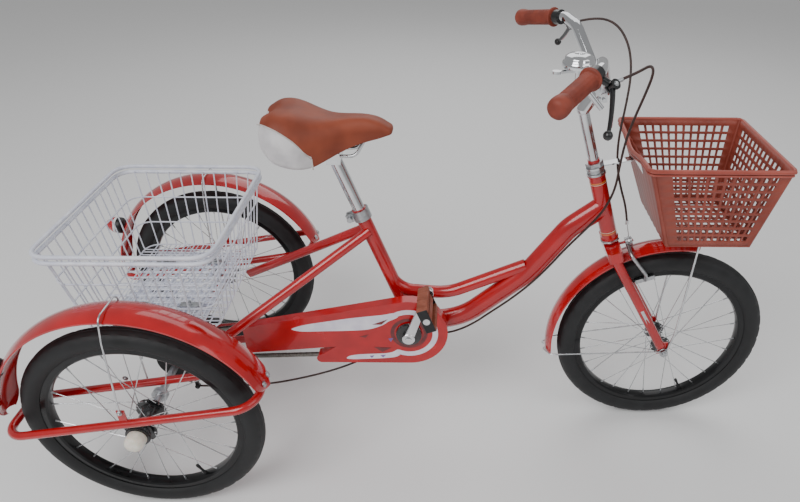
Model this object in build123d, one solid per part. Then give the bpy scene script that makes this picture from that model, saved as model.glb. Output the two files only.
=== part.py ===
from build123d import *
import math
import os

# Adult tricycle: low step-through frame, one steered front wheel, two rear wheels.
# Millimetres. X points forward, Y to the rider's left, Z up, the ground is Z = 0.
# Lengths along X are first laid out from the rear axle, then everything is shifted
# so that the middle of the overall length is X = 0.

# ---------------------------------------------------------------- overall layout
WHEELBASE = 1165.0
TRACK = 584.0
TYRE_R = 250.0
TYRE_WIDTH = 46.0
HEAD_ANGLE = 18.0
CROWN_X = 1015.0
CROWN_Z = 504.0
RUN_FIT = 0.05
GAP = 0.4

# ---------------------------------------------------------------- wheels
RIM_OUTER_R = 208.0
RIM_INNER_R = 193.0
RIM_WIDTH = 28.0
RIM_WALL = 3.0
TYRE_WALL = 3.5
SPOKES = 28
SPOKE_R = 1.0
SPOKE_STAND_OFF = 2.0
REAR_SHAFT_R = 8.5
FRONT_SHAFT_R = 5.0
REAR_FLANGE_R = 33.0
REAR_FLANGE_Y = 28.0
REAR_BARREL_R = 23.0
FRONT_FLANGE_R = 24.0
FRONT_FLANGE_Y = 29.0
FRONT_BARREL_R = 14.0
FLANGE_WALL = 3.0
DUST_CAP_R = 20.0
DUST_CAP_LENGTH = 30.0

# ---------------------------------------------------------------- drivetrain
CHAIN_PITCH = 12.7
CHAIN_LINKS = 114
RING_TEETH = 36
COG_TEETH = 18
CHAIN_Y = -48.0
COG_WALL = 2.4
PLATE_WALL = 1.2
ROLLER_R = 2.6
ROLLER_WIDTH = 5.2
BB_Z = 310.0
BB_HALF = 34.0
BB_R = 20.0
BB_BORE_R = 17.0
SPINDLE_R = 8.0
CRANK_LENGTH = 140.0
CRANK_ANGLE = 20.0
CRANK_Y = 85.0
CRANK_WALL = 13.0
PEDAL_LENGTH = 92.0
PEDAL_WIDTH = 60.0
PEDAL_WALL = 25.0
PEDAL_TILT = 70.0
PEDAL_SHAFT_R = 5.0
GUARD_R = 92.0
GUARD_FACE_Y = -66.0
GUARD_DEPTH = 24.0
GUARD_WALL = 1.5
GUARD_WINDOW_R = 30.0

# ---------------------------------------------------------------- frame tubes
HEAD_TUBE_R = 18.0
HEAD_TUBE_BORE_R = 15.5
HEAD_TUBE_LOW = 36.0
HEAD_TUBE_HIGH = 200.0
BEAM_WIDTH = 40.0
BEAM_HEIGHT = 50.0
BEAM_WALL = 2.0
UPPER_TUBE_R = 15.0
SEAT_TUBE_R = 16.0
SEAT_POST_R = 13.6
SEAT_ANGLE = 19.5
SEAT_TUBE_LENGTH = 315.0
SEAT_POST_TOP = 442.0
SEAT_POST_LENGTH = 290.0
STAY_R = 9.5
SEAT_STAY_R = 11.0
TUBE_WALL = 1.6

# ---------------------------------------------------------------- rear frame
LOOP_R = 9.0
LOOP_HALF_WIDTH = 60.0
LOOP_CORNER_R = 45.0
LOOP_Z = 303.0
LOOP_SLOPE = 0.17
CROSS_R = 12.5
CROSS_FRONT_X = 110.0
CROSS_REAR_X = -85.0
HANGER_WALL = 6.0
HANGER_OUTER_Y = 215.0
HANGER_INNER_Y = 28.0
HANGER_BOSS_R = 23.0
BEARING_R = 17.5
BEARING_WIDTH = 12.0
DRUM_R = 42.0
DRUM_Y = -92.0
DRUM_WIDTH = 20.0
BAND_WALL = 3.0
CARRIER_Z = 388.0
CARRIER_R = 8.0

# ---------------------------------------------------------------- fenders
REAR_FENDER_R = 292.0
REAR_FENDER_WIDTH = 72.0
REAR_FENDER_FRONT = 20.0
REAR_FENDER_BACK = 175.0
FRONT_FENDER_R = 281.0
FRONT_FENDER_WIDTH = 56.0
FRONT_FENDER_FRONT = 80.0
FRONT_FENDER_BACK = 190.0
FENDER_WALL = 1.5
FENDER_CROWN = 9.0
LAMP_R = 22.0
LAMP_LENGTH = 46.0
LAMP_ANGLE = 152.0
LAMP_DIRECTION = 172.0
FENDER_X = 5.0
FENDER_Z = TYRE_R + 6.0

# ---------------------------------------------------------------- fork and bars
STEERER_R = 12.7
QUILL_R = 11.1
CROWN_HEIGHT = 26.0
BLADE_R = 11.0
BLADE_Y = 47.0
HUB_HALF = 50.0
DROPOUT_WALL = 4.0
BAR_R = 11.1
BAR_CLAMP_X = 938.0
BAR_CLAMP_Z = 883.0
BAR_BENDS = [40, 42, 48, 48, 42, 40]
GRIP_R = 16.0
GRIP_LENGTH = 118.0
STEM_TOP = 345.0
BELL_R = 30.0
BELL_HEIGHT = 24.0
LEVER_LENGTH = 92.0
CABLE_R = 2.5
BRAKE_BOLT_R = 3.0

# ---------------------------------------------------------------- baskets
REAR_BASKET_Z = 607.0
REAR_BASKET_BACK = -175.0
REAR_BASKET_FRONT = 180.0
REAR_BASKET_HALF = 212.0
REAR_BASKET_DEPTH = 207.0
REAR_BASKET_TAPER = 28.0
WIRE_WALL = 3.0
RIM_TUBE_R = 4.5
RIM_CORNER_R = 45.0
FRONT_BASKET_Z = 766.0
FRONT_BASKET_BACK = 1022.0
FRONT_BASKET_FRONT = 1294.0
FRONT_BASKET_HALF = 140.0
FRONT_BASKET_DEPTH = 188.0
FRONT_BASKET_FLOOR_BACK = 1094.0
FRONT_BASKET_FLOOR_FRONT = 1270.0
FRONT_BASKET_FLOOR_HALF = 106.0
BASKET_WALL = 3.4

# ---------------------------------------------------------------- saddle
SADDLE_BACK = 264.0
SADDLE_NOSE = 528.0
SADDLE_HALF = 104.0
NOSE_HALF = 26.0
SADDLE_LOW = 748.0
SADDLE_TOP = 836.0
RAIL_R = 3.5
RAIL_Y = 22.0
RAIL_Z = 738.0

# ---------------------------------------------------------------- worked out
RIM_MID_Y = TRACK / 2
RING_PITCH_R = CHAIN_PITCH / 2 / math.sin(math.pi / RING_TEETH)
COG_PITCH_R = CHAIN_PITCH / 2 / math.sin(math.pi / COG_TEETH)
TOOTH_SUM = (RING_TEETH + COG_TEETH) / 2
TOOTH_DIFF = ((RING_TEETH - COG_TEETH) / 2 / math.pi) ** 2
CHAIN_SPAN = CHAIN_LINKS - TOOTH_SUM
CENTRE_PITCHES = (CHAIN_SPAN + math.sqrt(CHAIN_SPAN**2 - 8 * TOOTH_DIFF)) / 4
CENTRE_DISTANCE = CENTRE_PITCHES * CHAIN_PITCH
BB_X = math.sqrt(CENTRE_DISTANCE**2 - (BB_Z - TYRE_R) ** 2)
LOOP_REACH = REAR_FENDER_R - FENDER_CROWN - FENDER_WALL - LOOP_R - GAP
LOOP_FRONT_X = FENDER_X + LOOP_REACH * math.cos(math.radians(REAR_FENDER_FRONT))
LOOP_REAR_X = FENDER_X - LOOP_REACH
LAMP_FOOT_X = FENDER_X + REAR_FENDER_R * math.cos(math.radians(LAMP_ANGLE))
LAMP_FOOT_Z = FENDER_Z + REAR_FENDER_R * math.sin(math.radians(LAMP_ANGLE))
LAMP_TIP_X = LAMP_FOOT_X + (LAMP_LENGTH + 3) * math.cos(math.radians(LAMP_DIRECTION))
ORIGIN_X = (WHEELBASE + TYRE_R + LAMP_TIP_X) / 2

FORWARD = Vector(math.cos(math.radians(HEAD_ANGLE)), 0, math.sin(math.radians(HEAD_ANGLE)))
STEER_UP = Vector(-math.sin(math.radians(HEAD_ANGLE)), 0, math.cos(math.radians(HEAD_ANGLE)))
CROWN = Vector(CROWN_X, 0, CROWN_Z)
STEER = Plane(origin=CROWN, x_dir=FORWARD, z_dir=STEER_UP)
SEAT_UP = Vector(-math.sin(math.radians(SEAT_ANGLE)), 0, math.cos(math.radians(SEAT_ANGLE)))
BB = Vector(BB_X, 0, BB_Z)
AXLE = Vector(0, 0, TYRE_R)
FRONT_AXLE = Vector(WHEELBASE, 0, TYRE_R)
PEDAL_OUT = Vector(math.sin(math.radians(CRANK_ANGLE)), 0, math.cos(math.radians(CRANK_ANGLE)))
SIDEWAYS = Vector(0, 1, 0)


# ---------------------------------------------------------------- small helpers
def rod(start, end, radius, hole=0.0):
    """A round bar or tube from start to end."""
    start, end = Vector(*start), Vector(*end)
    length = (end - start).length
    plane = Plane(origin=start, z_dir=end - start)
    section = Circle(radius)
    if hole:
        section -= Circle(hole)
    return extrude(plane * section, length)


def ring(centre, axis, outer, inner, width):
    """A round collar or bearing, centred on a point of its axis."""
    centre, axis = Vector(*centre), Vector(*axis).normalized()
    start = centre - axis * (width / 2)
    return rod(start, centre + axis * (width / 2), outer, inner)


def bent(points, bends, radius, hole=0.0):
    """A round tube along straight runs joined by tangent arcs."""
    path = FilletPolyline(*points, radius=bends)
    plane = Plane(origin=path @ 0, z_dir=path % 0)
    section = Circle(radius)
    if hole:
        section -= Circle(hole)
    return sweep(plane * section, path=path)


def group(*parts):
    """Separate solids that share one node."""
    solids = []
    for part in parts:
        solids += list(part.solids())
    return Compound(solids)


def other_side(part):
    """The same piece on the other side of the tricycle."""
    return mirror(part, about=Plane.XZ)


def both_sides(part):
    return group(part, other_side(part))


def turned(profile, arc=360.0):
    """Turn a (radius, width) profile about the Y axis, from +X up towards +Z."""
    return revolve(profile, axis=Axis((0, 0, 0), (0, -1, 0)), revolution_arc=arc)


def loop_height(x):
    """Height of the sloping loop tubes at a given X."""
    return LOOP_Z + LOOP_SLOPE * x


def steer_rod(low, high, radius, hole=0.0):
    """A round bar or tube along the steering axis, between two heights above the crown."""
    return rod(steer_point(0, 0, low), steer_point(0, 0, high), radius, hole)


def side_view(y):
    """Drawing plane seen from the right: X stays forward and the drawing's Y is up."""
    return Plane(origin=(0, y, 0), x_dir=(1, 0, 0), z_dir=(0, -1, 0))


def steer_point(forward, left, up):
    """A point given in the steering's own directions."""
    return CROWN + FORWARD * forward + SIDEWAYS * left + STEER_UP * up


# ---------------------------------------------------------------- wheels
def tyre_ring():
    mid = TYRE_R - (TYRE_R - RIM_OUTER_R + 6) / 2
    tall = TYRE_R - mid
    half = TYRE_WIDTH / 2
    seat = RIM_WIDTH / 2 - RIM_WALL
    profile = Pos(mid, 0) * Ellipse(tall, half)
    profile -= Pos(mid, 0) * Ellipse(tall - TYRE_WALL, half - TYRE_WALL)
    profile -= Pos(mid - tall, 0) * Rectangle(2 * tall * 0.4, 12)
    for side in (1, -1):
        profile -= Pos(RIM_OUTER_R - 30, side * (seat + 15)) * Rectangle(60, 30)
    return turned(profile)


def rim_ring():
    height = RIM_OUTER_R - RIM_INNER_R
    profile = Pos(RIM_INNER_R + height / 2, 0) * Rectangle(height, RIM_WIDTH)
    profile -= Pos(RIM_INNER_R + RIM_WALL + height / 2, 0) * Rectangle(height, RIM_WIDTH - 2 * RIM_WALL)
    return turned(profile)


def spoke_set(flange_r, flange_y):
    """Crossed spokes, half from each flange, alternately leading and trailing."""
    spokes = []
    per_side = SPOKES // 2
    hole_r = flange_r - 3.0
    for index in range(SPOKES):
        side = 1 if index % 2 else -1
        leading = 1 if (index // 2) % 2 else -1
        rim_turn = math.radians(360.0 * index / SPOKES)
        hub_turn = rim_turn + leading * math.radians(360.0 / per_side * 2.25)
        offset = FLANGE_WALL / 2 + SPOKE_R + SPOKE_STAND_OFF
        start_y = side * (flange_y + leading * offset)
        start = (hole_r * math.cos(hub_turn), start_y, hole_r * math.sin(hub_turn))
        end_r = RIM_INNER_R - SPOKE_R
        end = (end_r * math.cos(rim_turn), side * 3.0, end_r * math.sin(rim_turn))
        spokes.append(rod(start, end, SPOKE_R))
    return group(*spokes)


def hub_shell(barrel_r, flange_r, flange_y, half_length, bore_r):
    shell = ring((0, 0, 0), SIDEWAYS, barrel_r, bore_r, 2 * half_length)
    for side in (1, -1):
        shell += ring((0, side * flange_y, 0), SIDEWAYS, flange_r, bore_r, FLANGE_WALL)
    return shell


def rear_hub(side):
    """Black hub with a knurled lock ring and a pale dust cap on its outer end."""
    half = REAR_FLANGE_Y + 10
    shell = hub_shell(REAR_BARREL_R, REAR_FLANGE_R, REAR_FLANGE_Y, half, REAR_SHAFT_R + RUN_FIT)
    lock = ring((0, side * (half + 5), 0), SIDEWAYS, DUST_CAP_R + 5, REAR_SHAFT_R + RUN_FIT, 10)
    start = side * (half + 10)
    cap = rod((0, start, 0), (0, start + side * DUST_CAP_LENGTH, 0), DUST_CAP_R)
    cap -= rod((0, start, 0), (0, start + side * (DUST_CAP_LENGTH - 4), 0), DUST_CAP_R - 4)
    end = cap.faces().sort_by(Axis.Y)[-1 if side > 0 else 0]
    cap = fillet(end.edges(), 8)
    return group(shell, lock, cap)


def rear_shaft_reach():
    """How far the rear shafts stand out, just inside the dust caps."""
    return RIM_MID_Y + REAR_FLANGE_Y + 10 + 10 + 12


def front_hub():
    half = HUB_HALF - GAP
    return hub_shell(FRONT_BARREL_R, FRONT_FLANGE_R, FRONT_FLANGE_Y, half, FRONT_SHAFT_R + RUN_FIT)


# ---------------------------------------------------------------- drivetrain
def toothed_disc(teeth, pitch_r, hole_r):
    root_r = pitch_r - ROLLER_R - 0.4
    tip_r = pitch_r + 2.4
    base = CHAIN_PITCH * 0.44
    tip = CHAIN_PITCH * 0.16
    half = [(root_r - 1, base / 2), (tip_r, tip / 2)]
    tooth = Polygon(*[(x, -y) for x, y in half], *reversed(half), align=None)
    disc = Circle(root_r)
    for index in range(teeth):
        disc += Rot(0, 0, 360.0 * (index + 0.5) / teeth) * tooth
    disc -= Circle(hole_r)
    return extrude(Plane.XZ * disc, COG_WALL / 2, both=True)


def chain_tilt():
    """Tilt of the line from the rear axle up to the crank, and of each chain run from it."""
    line = math.degrees(math.atan2(BB_Z - TYRE_R, BB_X))
    wrap = math.degrees(math.asin((RING_PITCH_R - COG_PITCH_R) / CENTRE_DISTANCE))
    return line, wrap


def chain_points():
    """Roller centres, evenly spaced round the closed chain, starting over the chainring."""
    line, wrap = chain_tilt()
    run = math.sqrt(CENTRE_DISTANCE**2 - (RING_PITCH_R - COG_PITCH_R) ** 2)
    front_arc = RING_PITCH_R * math.radians(180 + 2 * wrap)
    rear_arc = COG_PITCH_R * math.radians(180 - 2 * wrap)
    step = (2 * run + front_arc + rear_arc) / CHAIN_LINKS
    points = []
    for index in range(CHAIN_LINKS):
        along = (index + 0.5) * step
        if along < front_arc:
            turn = math.radians(90 + wrap + line) - along / RING_PITCH_R
            centre, radius, shift = BB, RING_PITCH_R, 0
        elif along < front_arc + run:
            turn = math.radians(line - 90 - wrap)
            centre, radius, shift = BB, RING_PITCH_R, along - front_arc
        elif along < front_arc + run + rear_arc:
            turn = math.radians(line - 90 - wrap) - (along - front_arc - run) / COG_PITCH_R
            centre, radius, shift = AXLE, COG_PITCH_R, 0
        else:
            turn = math.radians(90 + wrap + line)
            centre, radius, shift = AXLE, COG_PITCH_R, along - front_arc - run - rear_arc
        out = Vector(math.cos(turn), 0, math.sin(turn))
        onward = Vector(math.sin(turn), 0, -math.cos(turn))
        points.append(centre + out * radius + onward * shift)
    return points


def chain_outline(offset):
    """The chain's closed outline, offset from its pitch line."""
    ring_r, cog_r = RING_PITCH_R + offset, COG_PITCH_R + offset
    line, wrap = chain_tilt()
    rear = Vector(0, TYRE_R)
    front = Vector(BB_X, BB_Z)
    corners = []
    for turn in (90 + wrap + line, line - 90 - wrap):
        out = Vector(math.cos(math.radians(turn)), math.sin(math.radians(turn)))
        corners.append((rear + out * cog_r, front + out * ring_r))
    (rear_top, front_top), (rear_low, front_low) = corners
    ahead = Vector(math.cos(math.radians(line)), math.sin(math.radians(line)))
    edges = [
        Line(rear_top, front_top),
        ThreePointArc(front_top, front + ahead * ring_r, front_low),
        Line(front_low, rear_low),
        ThreePointArc(rear_low, rear - ahead * cog_r, rear_top),
    ]
    return make_face(Wire(edges))


def chain():
    """Roller chain: two rows of side plates held apart by rollers."""
    plates = []
    band = chain_outline(4.0) - chain_outline(-4.0)
    for side in (1, -1):
        y = CHAIN_Y + side * (ROLLER_WIDTH / 2 + PLATE_WALL / 2)
        plates.append(extrude(side_view(y) * band, PLATE_WALL / 2, both=True))
    places = [(p.X, CHAIN_Y, p.Z) for p in chain_points()]
    rollers = [ring(place, SIDEWAYS, ROLLER_R, 1.2, ROLLER_WIDTH) for place in places]
    return group(*plates, *rollers)


def ring_phase(teeth, centre, first):
    """Turn that sets a toothed disc's gaps on the chain's rollers."""
    angle = math.degrees(math.atan2(first.Z - centre.Z, first.X - centre.X))
    return angle % (360.0 / teeth)


def chainring():
    points = chain_points()
    disc = toothed_disc(RING_TEETH, RING_PITCH_R, SPINDLE_R + 4)
    for index in range(5):
        window = Pos(RING_PITCH_R * 0.62, 0) * SlotOverall(30, 17)
        cutter = extrude(Plane.XZ * (Rot(0, 0, 72.0 * index) * window), COG_WALL, both=True)
        disc -= cutter
    disc = Rot(0, -ring_phase(RING_TEETH, BB, points[4]), 0) * disc
    return Pos(BB_X, CHAIN_Y, BB_Z) * disc


def rear_cog():
    points = chain_points()
    nearest = min(points, key=lambda p: p.X)
    disc = toothed_disc(COG_TEETH, COG_PITCH_R, REAR_SHAFT_R)
    disc = Rot(0, -ring_phase(COG_TEETH, AXLE, nearest), 0) * disc
    boss = ring((0, 0, 0), SIDEWAYS, REAR_SHAFT_R + 7, REAR_SHAFT_R, 12)
    return Pos(0, CHAIN_Y, TYRE_R) * (disc + boss)


def crank_arm():
    """Right crank: a tapered forged arm with an eye at each end."""
    inner = CRANK_Y - CRANK_WALL / 2
    profile = Circle(15) + Pos(CRANK_LENGTH, 0) * Circle(12)
    profile += Polygon((0, -12), (CRANK_LENGTH, -8.5), (CRANK_LENGTH, 8.5), (0, 12), align=None)
    plane = Plane(origin=(BB_X, -inner, BB_Z), x_dir=PEDAL_OUT, z_dir=(0, -1, 0))
    arm = extrude(plane * profile, CRANK_WALL)
    eye = BB + PEDAL_OUT * CRANK_LENGTH
    arm -= rod((eye.X, -inner + 1, eye.Z), (eye.X, -inner - CRANK_WALL - 1, eye.Z), PEDAL_SHAFT_R)
    return arm


def crank_set():
    """Both cranks and the spindle between them."""
    inner = CRANK_Y - CRANK_WALL / 2
    spindle = rod((BB_X, -inner - CRANK_WALL, BB_Z), (BB_X, inner + CRANK_WALL, BB_Z), SPINDLE_R)
    right = crank_arm()
    left = Pos(BB_X, 0, BB_Z) * Rot(0, 180, 0) * Pos(-BB_X, 0, -BB_Z) * other_side(right)
    return spindle + right + left


def pedal_axis(side):
    """Middle of a pedal's spindle: side is -1 on the right and 1 on the left."""
    out = BB - PEDAL_OUT * (side * CRANK_LENGTH)
    return Vector(out.X, side * (CRANK_Y + CRANK_WALL / 2 + 10 + PEDAL_LENGTH / 2), out.Z)


def pedal_spindles():
    """Steel spindles screwed into the crank eyes, each with its washer."""
    spindles = []
    for side in (-1, 1):
        middle = pedal_axis(side)
        start = side * (CRANK_Y - CRANK_WALL / 2)
        end = middle.Y + side * (PEDAL_LENGTH / 2 - 6)
        spindles.append(rod((middle.X, start, middle.Z), (middle.X, end, middle.Z), PEDAL_SHAFT_R))
        washer = side * (CRANK_Y + CRANK_WALL / 2 + 2)
        spindles.append(ring((middle.X, washer, middle.Z), SIDEWAYS, 8, PEDAL_SHAFT_R, 4))
    return group(*spindles)


def pedal(side):
    """A block pedal on its spindle, tipped as it hangs."""
    block = Box(PEDAL_WIDTH, PEDAL_LENGTH, PEDAL_WALL)
    block = fillet(block.edges().filter_by(Axis.Y), 5)
    for end in (-1, 1):
        slot = Pos(end * PEDAL_WIDTH * 0.31, 0, 0) * Box(8, PEDAL_LENGTH - 24, PEDAL_WALL + 2)
        block -= slot
    inner = Pos(0, -side * 3, 0) * Rot(90, 0, 0) * Cylinder(PEDAL_SHAFT_R + RUN_FIT, PEDAL_LENGTH)
    block -= inner
    middle = pedal_axis(side)
    return Pos(middle.X, middle.Y, middle.Z) * Rot(0, PEDAL_TILT, 0) * block


def guard_outline():
    """Long guard: round at the crank, an arm back towards the axle, and a short lower tail."""
    arm_back = 155.0
    arm_top_back = 322.0
    arm_low_back = 246.0
    tail_x = BB_X - 216
    tail_z = BB_Z - GUARD_R
    notch = Vector(BB_X - 176, 268)
    top = Vector(BB_X - 18, BB_Z + GUARD_R * 0.98)
    low = Vector(BB_X, BB_Z - GUARD_R)
    front = Vector(BB_X + GUARD_R, BB_Z)
    edges = [
        Line((arm_back, arm_low_back), (arm_back, arm_top_back)),
        Line((arm_back, arm_top_back), top),
        ThreePointArc(top, front, low),
        Line(low, (tail_x, tail_z)),
        ThreePointArc((tail_x, tail_z), (tail_x - 11, tail_z + 12), (tail_x + 2, tail_z + 24)),
        Line((tail_x + 2, tail_z + 24), notch),
        Line(notch, (arm_back, arm_low_back)),
    ]
    return make_face(Wire(edges))


def chain_guard():
    """Pressed steel cover outside the chainring, flanged inward round its edge."""
    plane = side_view(GUARD_FACE_Y)
    outline = guard_outline()
    face = extrude(plane * outline, GUARD_WALL)
    face -= rod((BB_X, 0, BB_Z), (BB_X, GUARD_FACE_Y - 10, BB_Z), GUARD_WINDOW_R)
    inside = offset(outline, amount=-GUARD_WALL)
    flange = extrude(plane * (outline - inside), -GUARD_DEPTH)
    back = Pos(140, 0, 0) * Box(60, 200, 320, align=(Align.CENTER, Align.CENTER, Align.MIN))
    flange -= back
    chain_exit = Pos(BB_X - 205, 0, TYRE_R - 24) * Box(80, 200, 26)
    flange -= chain_exit
    for x in (BB_X - 120, 230):
        tab = rod((x, GUARD_FACE_Y, 280), (x, GUARD_FACE_Y + 8, 280), 6)
        face += tab
    return face + flange


# ---------------------------------------------------------------- frame
def seat_point(along):
    return BB + SEAT_UP * along


def bb_shell():
    return ring(BB, SIDEWAYS, BB_R, BB_BORE_R, 2 * BB_HALF)


def bb_solid():
    return ring(BB, SIDEWAYS, BB_R, 0, 2 * BB_HALF)


def head_tube():
    return steer_rod(HEAD_TUBE_LOW, HEAD_TUBE_HIGH, HEAD_TUBE_R, HEAD_TUBE_BORE_R)


def head_solid():
    return steer_rod(HEAD_TUBE_LOW, HEAD_TUBE_HIGH, HEAD_TUBE_R)


def beam_path():
    """Centre line of the main beam, from the crank shell up to the head tube."""
    head_end = steer_point(0, 0, 118)
    points = [
        (BB_X, 0, BB_Z - 4),
        (BB_X + 118, 0, BB_Z - 8),
        (CROWN_X - 190, 0, BB_Z + 130),
        (CROWN_X - 105, 0, BB_Z + 252),
        (head_end.X, 0, head_end.Z),
    ]
    return FilletPolyline(*points, radius=[150, 200, 120])


def swept_oval(path, width, height):
    plane = Plane(origin=path @ 0, x_dir=(0, 1, 0), z_dir=path % 0)
    return sweep(plane * Ellipse(width / 2, height / 2), path=path)


def main_beam():
    path = beam_path()
    beam = swept_oval(path, BEAM_WIDTH, BEAM_HEIGHT)
    beam -= swept_oval(path, BEAM_WIDTH - 2 * BEAM_WALL, BEAM_HEIGHT - 2 * BEAM_WALL)
    beam -= bb_solid()
    beam -= head_solid()
    return biggest(beam)


def beam_solid():
    return swept_oval(beam_path(), BEAM_WIDTH, BEAM_HEIGHT)


def biggest(part):
    """The largest solid: what is left of a tube once its ends are fishmouthed."""
    return max(part.solids(), key=lambda s: s.volume)


def upper_tube_points():
    start = seat_point(190)
    return [
        (start.X, 0, start.Z),
        (BB_X - 28, 0, BB_Z + 82),
        (BB_X + 92, 0, BB_Z + 72),
        (CROWN_X - 195, 0, BB_Z + 152),
    ]


def seat_core():
    return rod(seat_point(0), seat_point(SEAT_TUBE_LENGTH), SEAT_TUBE_R)


def upper_tube():
    """Curved tube from the seat tube, close over the main beam, into the beam's upward bend."""
    tube = bent(upper_tube_points(), [60, 130], UPPER_TUBE_R)
    tube = biggest(tube - seat_core() - beam_solid())
    return tube - bent(upper_tube_points(), [60, 130], UPPER_TUBE_R - TUBE_WALL)


def seat_tube():
    """Seat tube with its gusset plates: the post slides in the top of its bore."""
    tube = rod(seat_point(0), seat_point(SEAT_TUBE_LENGTH), SEAT_TUBE_R, SEAT_POST_R + RUN_FIT)
    tube -= bb_solid()
    tube -= beam_solid()
    tube = biggest(tube)
    slot_top = Plane(origin=seat_point(SEAT_TUBE_LENGTH), x_dir=(0, 1, 0), z_dir=SEAT_UP)
    tube -= slot_top * Pos(0, 14, 0) * Box(2.5, 16, 60)
    return tube


def frame_gusset():
    """Flat plate between the seat tube, the upper tube and the crank shell."""
    low, high = seat_point(BB_R + 6), seat_point(135)
    forward = Vector(math.cos(math.radians(SEAT_ANGLE)), 0, math.sin(math.radians(SEAT_ANGLE)))
    corners = [low + forward * 6, high + forward * 6, high + forward * 20, low + forward * 40]
    plate = Polygon(*[(p.X, p.Z) for p in corners], align=None)
    solid = extrude(side_view(3) * plate, 6)
    solid -= seat_core()
    solid -= bent(upper_tube_points(), [60, 130], UPPER_TUBE_R)
    solid -= bb_solid()
    solid -= beam_solid()
    return biggest(solid)


def rear_stays():
    """Chain stays to the inner hangers and seat stays down to the front cross tube."""
    chain_start = (BB_X - 12, HANGER_INNER_Y, BB_Z - 10)
    chain_end = (HANGER_BOSS_R + 16, HANGER_INNER_Y, TYRE_R - 4)
    chain_stay = rod(chain_start, chain_end, STAY_R, STAY_R - TUBE_WALL) - bb_solid()
    chain_stay -= inner_hanger_blank()
    top = seat_point(262)
    seat_start = (top.X + 4, 12, top.Z)
    seat_end = (CROSS_FRONT_X, 148, loop_height(CROSS_FRONT_X) + LOOP_R)
    seat_stay = rod(seat_start, seat_end, SEAT_STAY_R, SEAT_STAY_R - TUBE_WALL)
    seat_stay -= seat_core()
    seat_stay -= cross_tube(CROSS_FRONT_X)
    seat_stay -= Pos(top.X, -50, top.Z) * Box(200, 100, 200)
    return both_sides(group(biggest(chain_stay), biggest(seat_stay)))


def cross_tube(x, radius=CROSS_R):
    z = loop_height(x) + LOOP_R
    reach = RIM_MID_Y - LOOP_HALF_WIDTH
    return rod((x, -reach, z), (x, reach, z), radius)


def fender_loop(side):
    """Tube bent into a closed loop round one rear wheel, with a tab for the fender stay."""
    half = LOOP_HALF_WIDTH
    middle = side * RIM_MID_Y
    length = LOOP_FRONT_X - LOOP_REAR_X
    tilt = math.degrees(math.atan(LOOP_SLOPE))
    flat_length = length / math.cos(math.radians(tilt))
    outline = RectangleRounded(flat_length, 2 * half, LOOP_CORNER_R)
    wire = outline.wire()
    centre = Vector((LOOP_FRONT_X + LOOP_REAR_X) / 2, middle, loop_height((LOOP_FRONT_X + LOOP_REAR_X) / 2))
    wire = Pos(centre.X, centre.Y, centre.Z) * Rot(0, -tilt, 0) * wire
    section = Plane(origin=wire @ 0, z_dir=wire % 0) * (Circle(LOOP_R) - Circle(LOOP_R - TUBE_WALL))
    tube = sweep(section, path=wire)
    outer_y = middle + side * half
    tab_x = -6.0
    low = loop_height(tab_x) + LOOP_R - 2
    tab = Pos(tab_x, outer_y, low + 15) * Box(16, 3, 30)
    tab -= Pos(tab_x, outer_y, low + 26) * Rot(90, 0, 0) * Cylinder(2.5, 10)
    tab -= loop_run(outer_y, LOOP_R - 0.2)
    return tube + tab


def hanger_outline(boss_r):
    """A hanger plate hangs from both cross tubes and carries the axle bearing."""
    front_z = loop_height(CROSS_FRONT_X) + LOOP_R
    rear_z = loop_height(CROSS_REAR_X) + LOOP_R
    plate = Polygon(
        (CROSS_REAR_X, rear_z - 8),
        (CROSS_REAR_X, rear_z + 8),
        (CROSS_FRONT_X, front_z + 8),
        (CROSS_FRONT_X, front_z - 8),
        (boss_r, TYRE_R - 4),
        (-boss_r, TYRE_R - 4),
        align=None,
    )
    return plate + Pos(0, TYRE_R) * Circle(boss_r)


def hanger(y, width=HANGER_WALL):
    return extrude(side_view(y + width / 2) * hanger_outline(HANGER_BOSS_R), width)


def inner_hanger_blank():
    centre = (0, HANGER_INNER_Y, TYRE_R)
    return hanger(HANGER_INNER_Y) + ring(centre, SIDEWAYS, HANGER_BOSS_R, 0, BEARING_WIDTH)


def rear_subframe():
    """Two cross tubes, four bearing hangers and the struts that carry the basket."""
    frame = cross_tube(CROSS_FRONT_X) + cross_tube(CROSS_REAR_X)
    bores = cross_tube(CROSS_FRONT_X, CROSS_R - TUBE_WALL) + cross_tube(CROSS_REAR_X, CROSS_R - TUBE_WALL)
    for y in (HANGER_OUTER_Y, HANGER_INNER_Y):
        for side in (1, -1):
            frame += hanger(side * y)
            centre = (0, side * y, TYRE_R)
            frame += ring(centre, SIDEWAYS, HANGER_BOSS_R, 0, BEARING_WIDTH)
            frame -= ring(centre, SIDEWAYS, BEARING_R, 0, 2 * BEARING_WIDTH)
    rail_y = REAR_BASKET_HALF - REAR_BASKET_TAPER - 14
    for side in (1, -1):
        for x, reach in ((CROSS_FRONT_X, 92), (CROSS_REAR_X, -118)):
            foot = (x, side * (HANGER_OUTER_Y - 10), loop_height(x) + LOOP_R)
            frame += rod(foot, (reach, side * rail_y, CARRIER_Z), CARRIER_R)
        frame += rod((-140, side * rail_y, CARRIER_Z), (140, side * rail_y, CARRIER_Z), CARRIER_R)
    for x in (-118, 0, 92):
        frame += rod((x, -rail_y, CARRIER_Z), (x, rail_y, CARRIER_Z), CARRIER_R)
    frame -= bores
    for side in (1, -1):
        frame -= loop_run(side * (RIM_MID_Y - LOOP_HALF_WIDTH))
    return biggest(frame)


def loop_run(y, radius=LOOP_R):
    """Solid stretch of a loop's straight run, to shape what joins it."""
    back, front = LOOP_REAR_X + 30, LOOP_FRONT_X - 30
    return rod((back, y, loop_height(back)), (front, y, loop_height(front)), radius)


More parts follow.
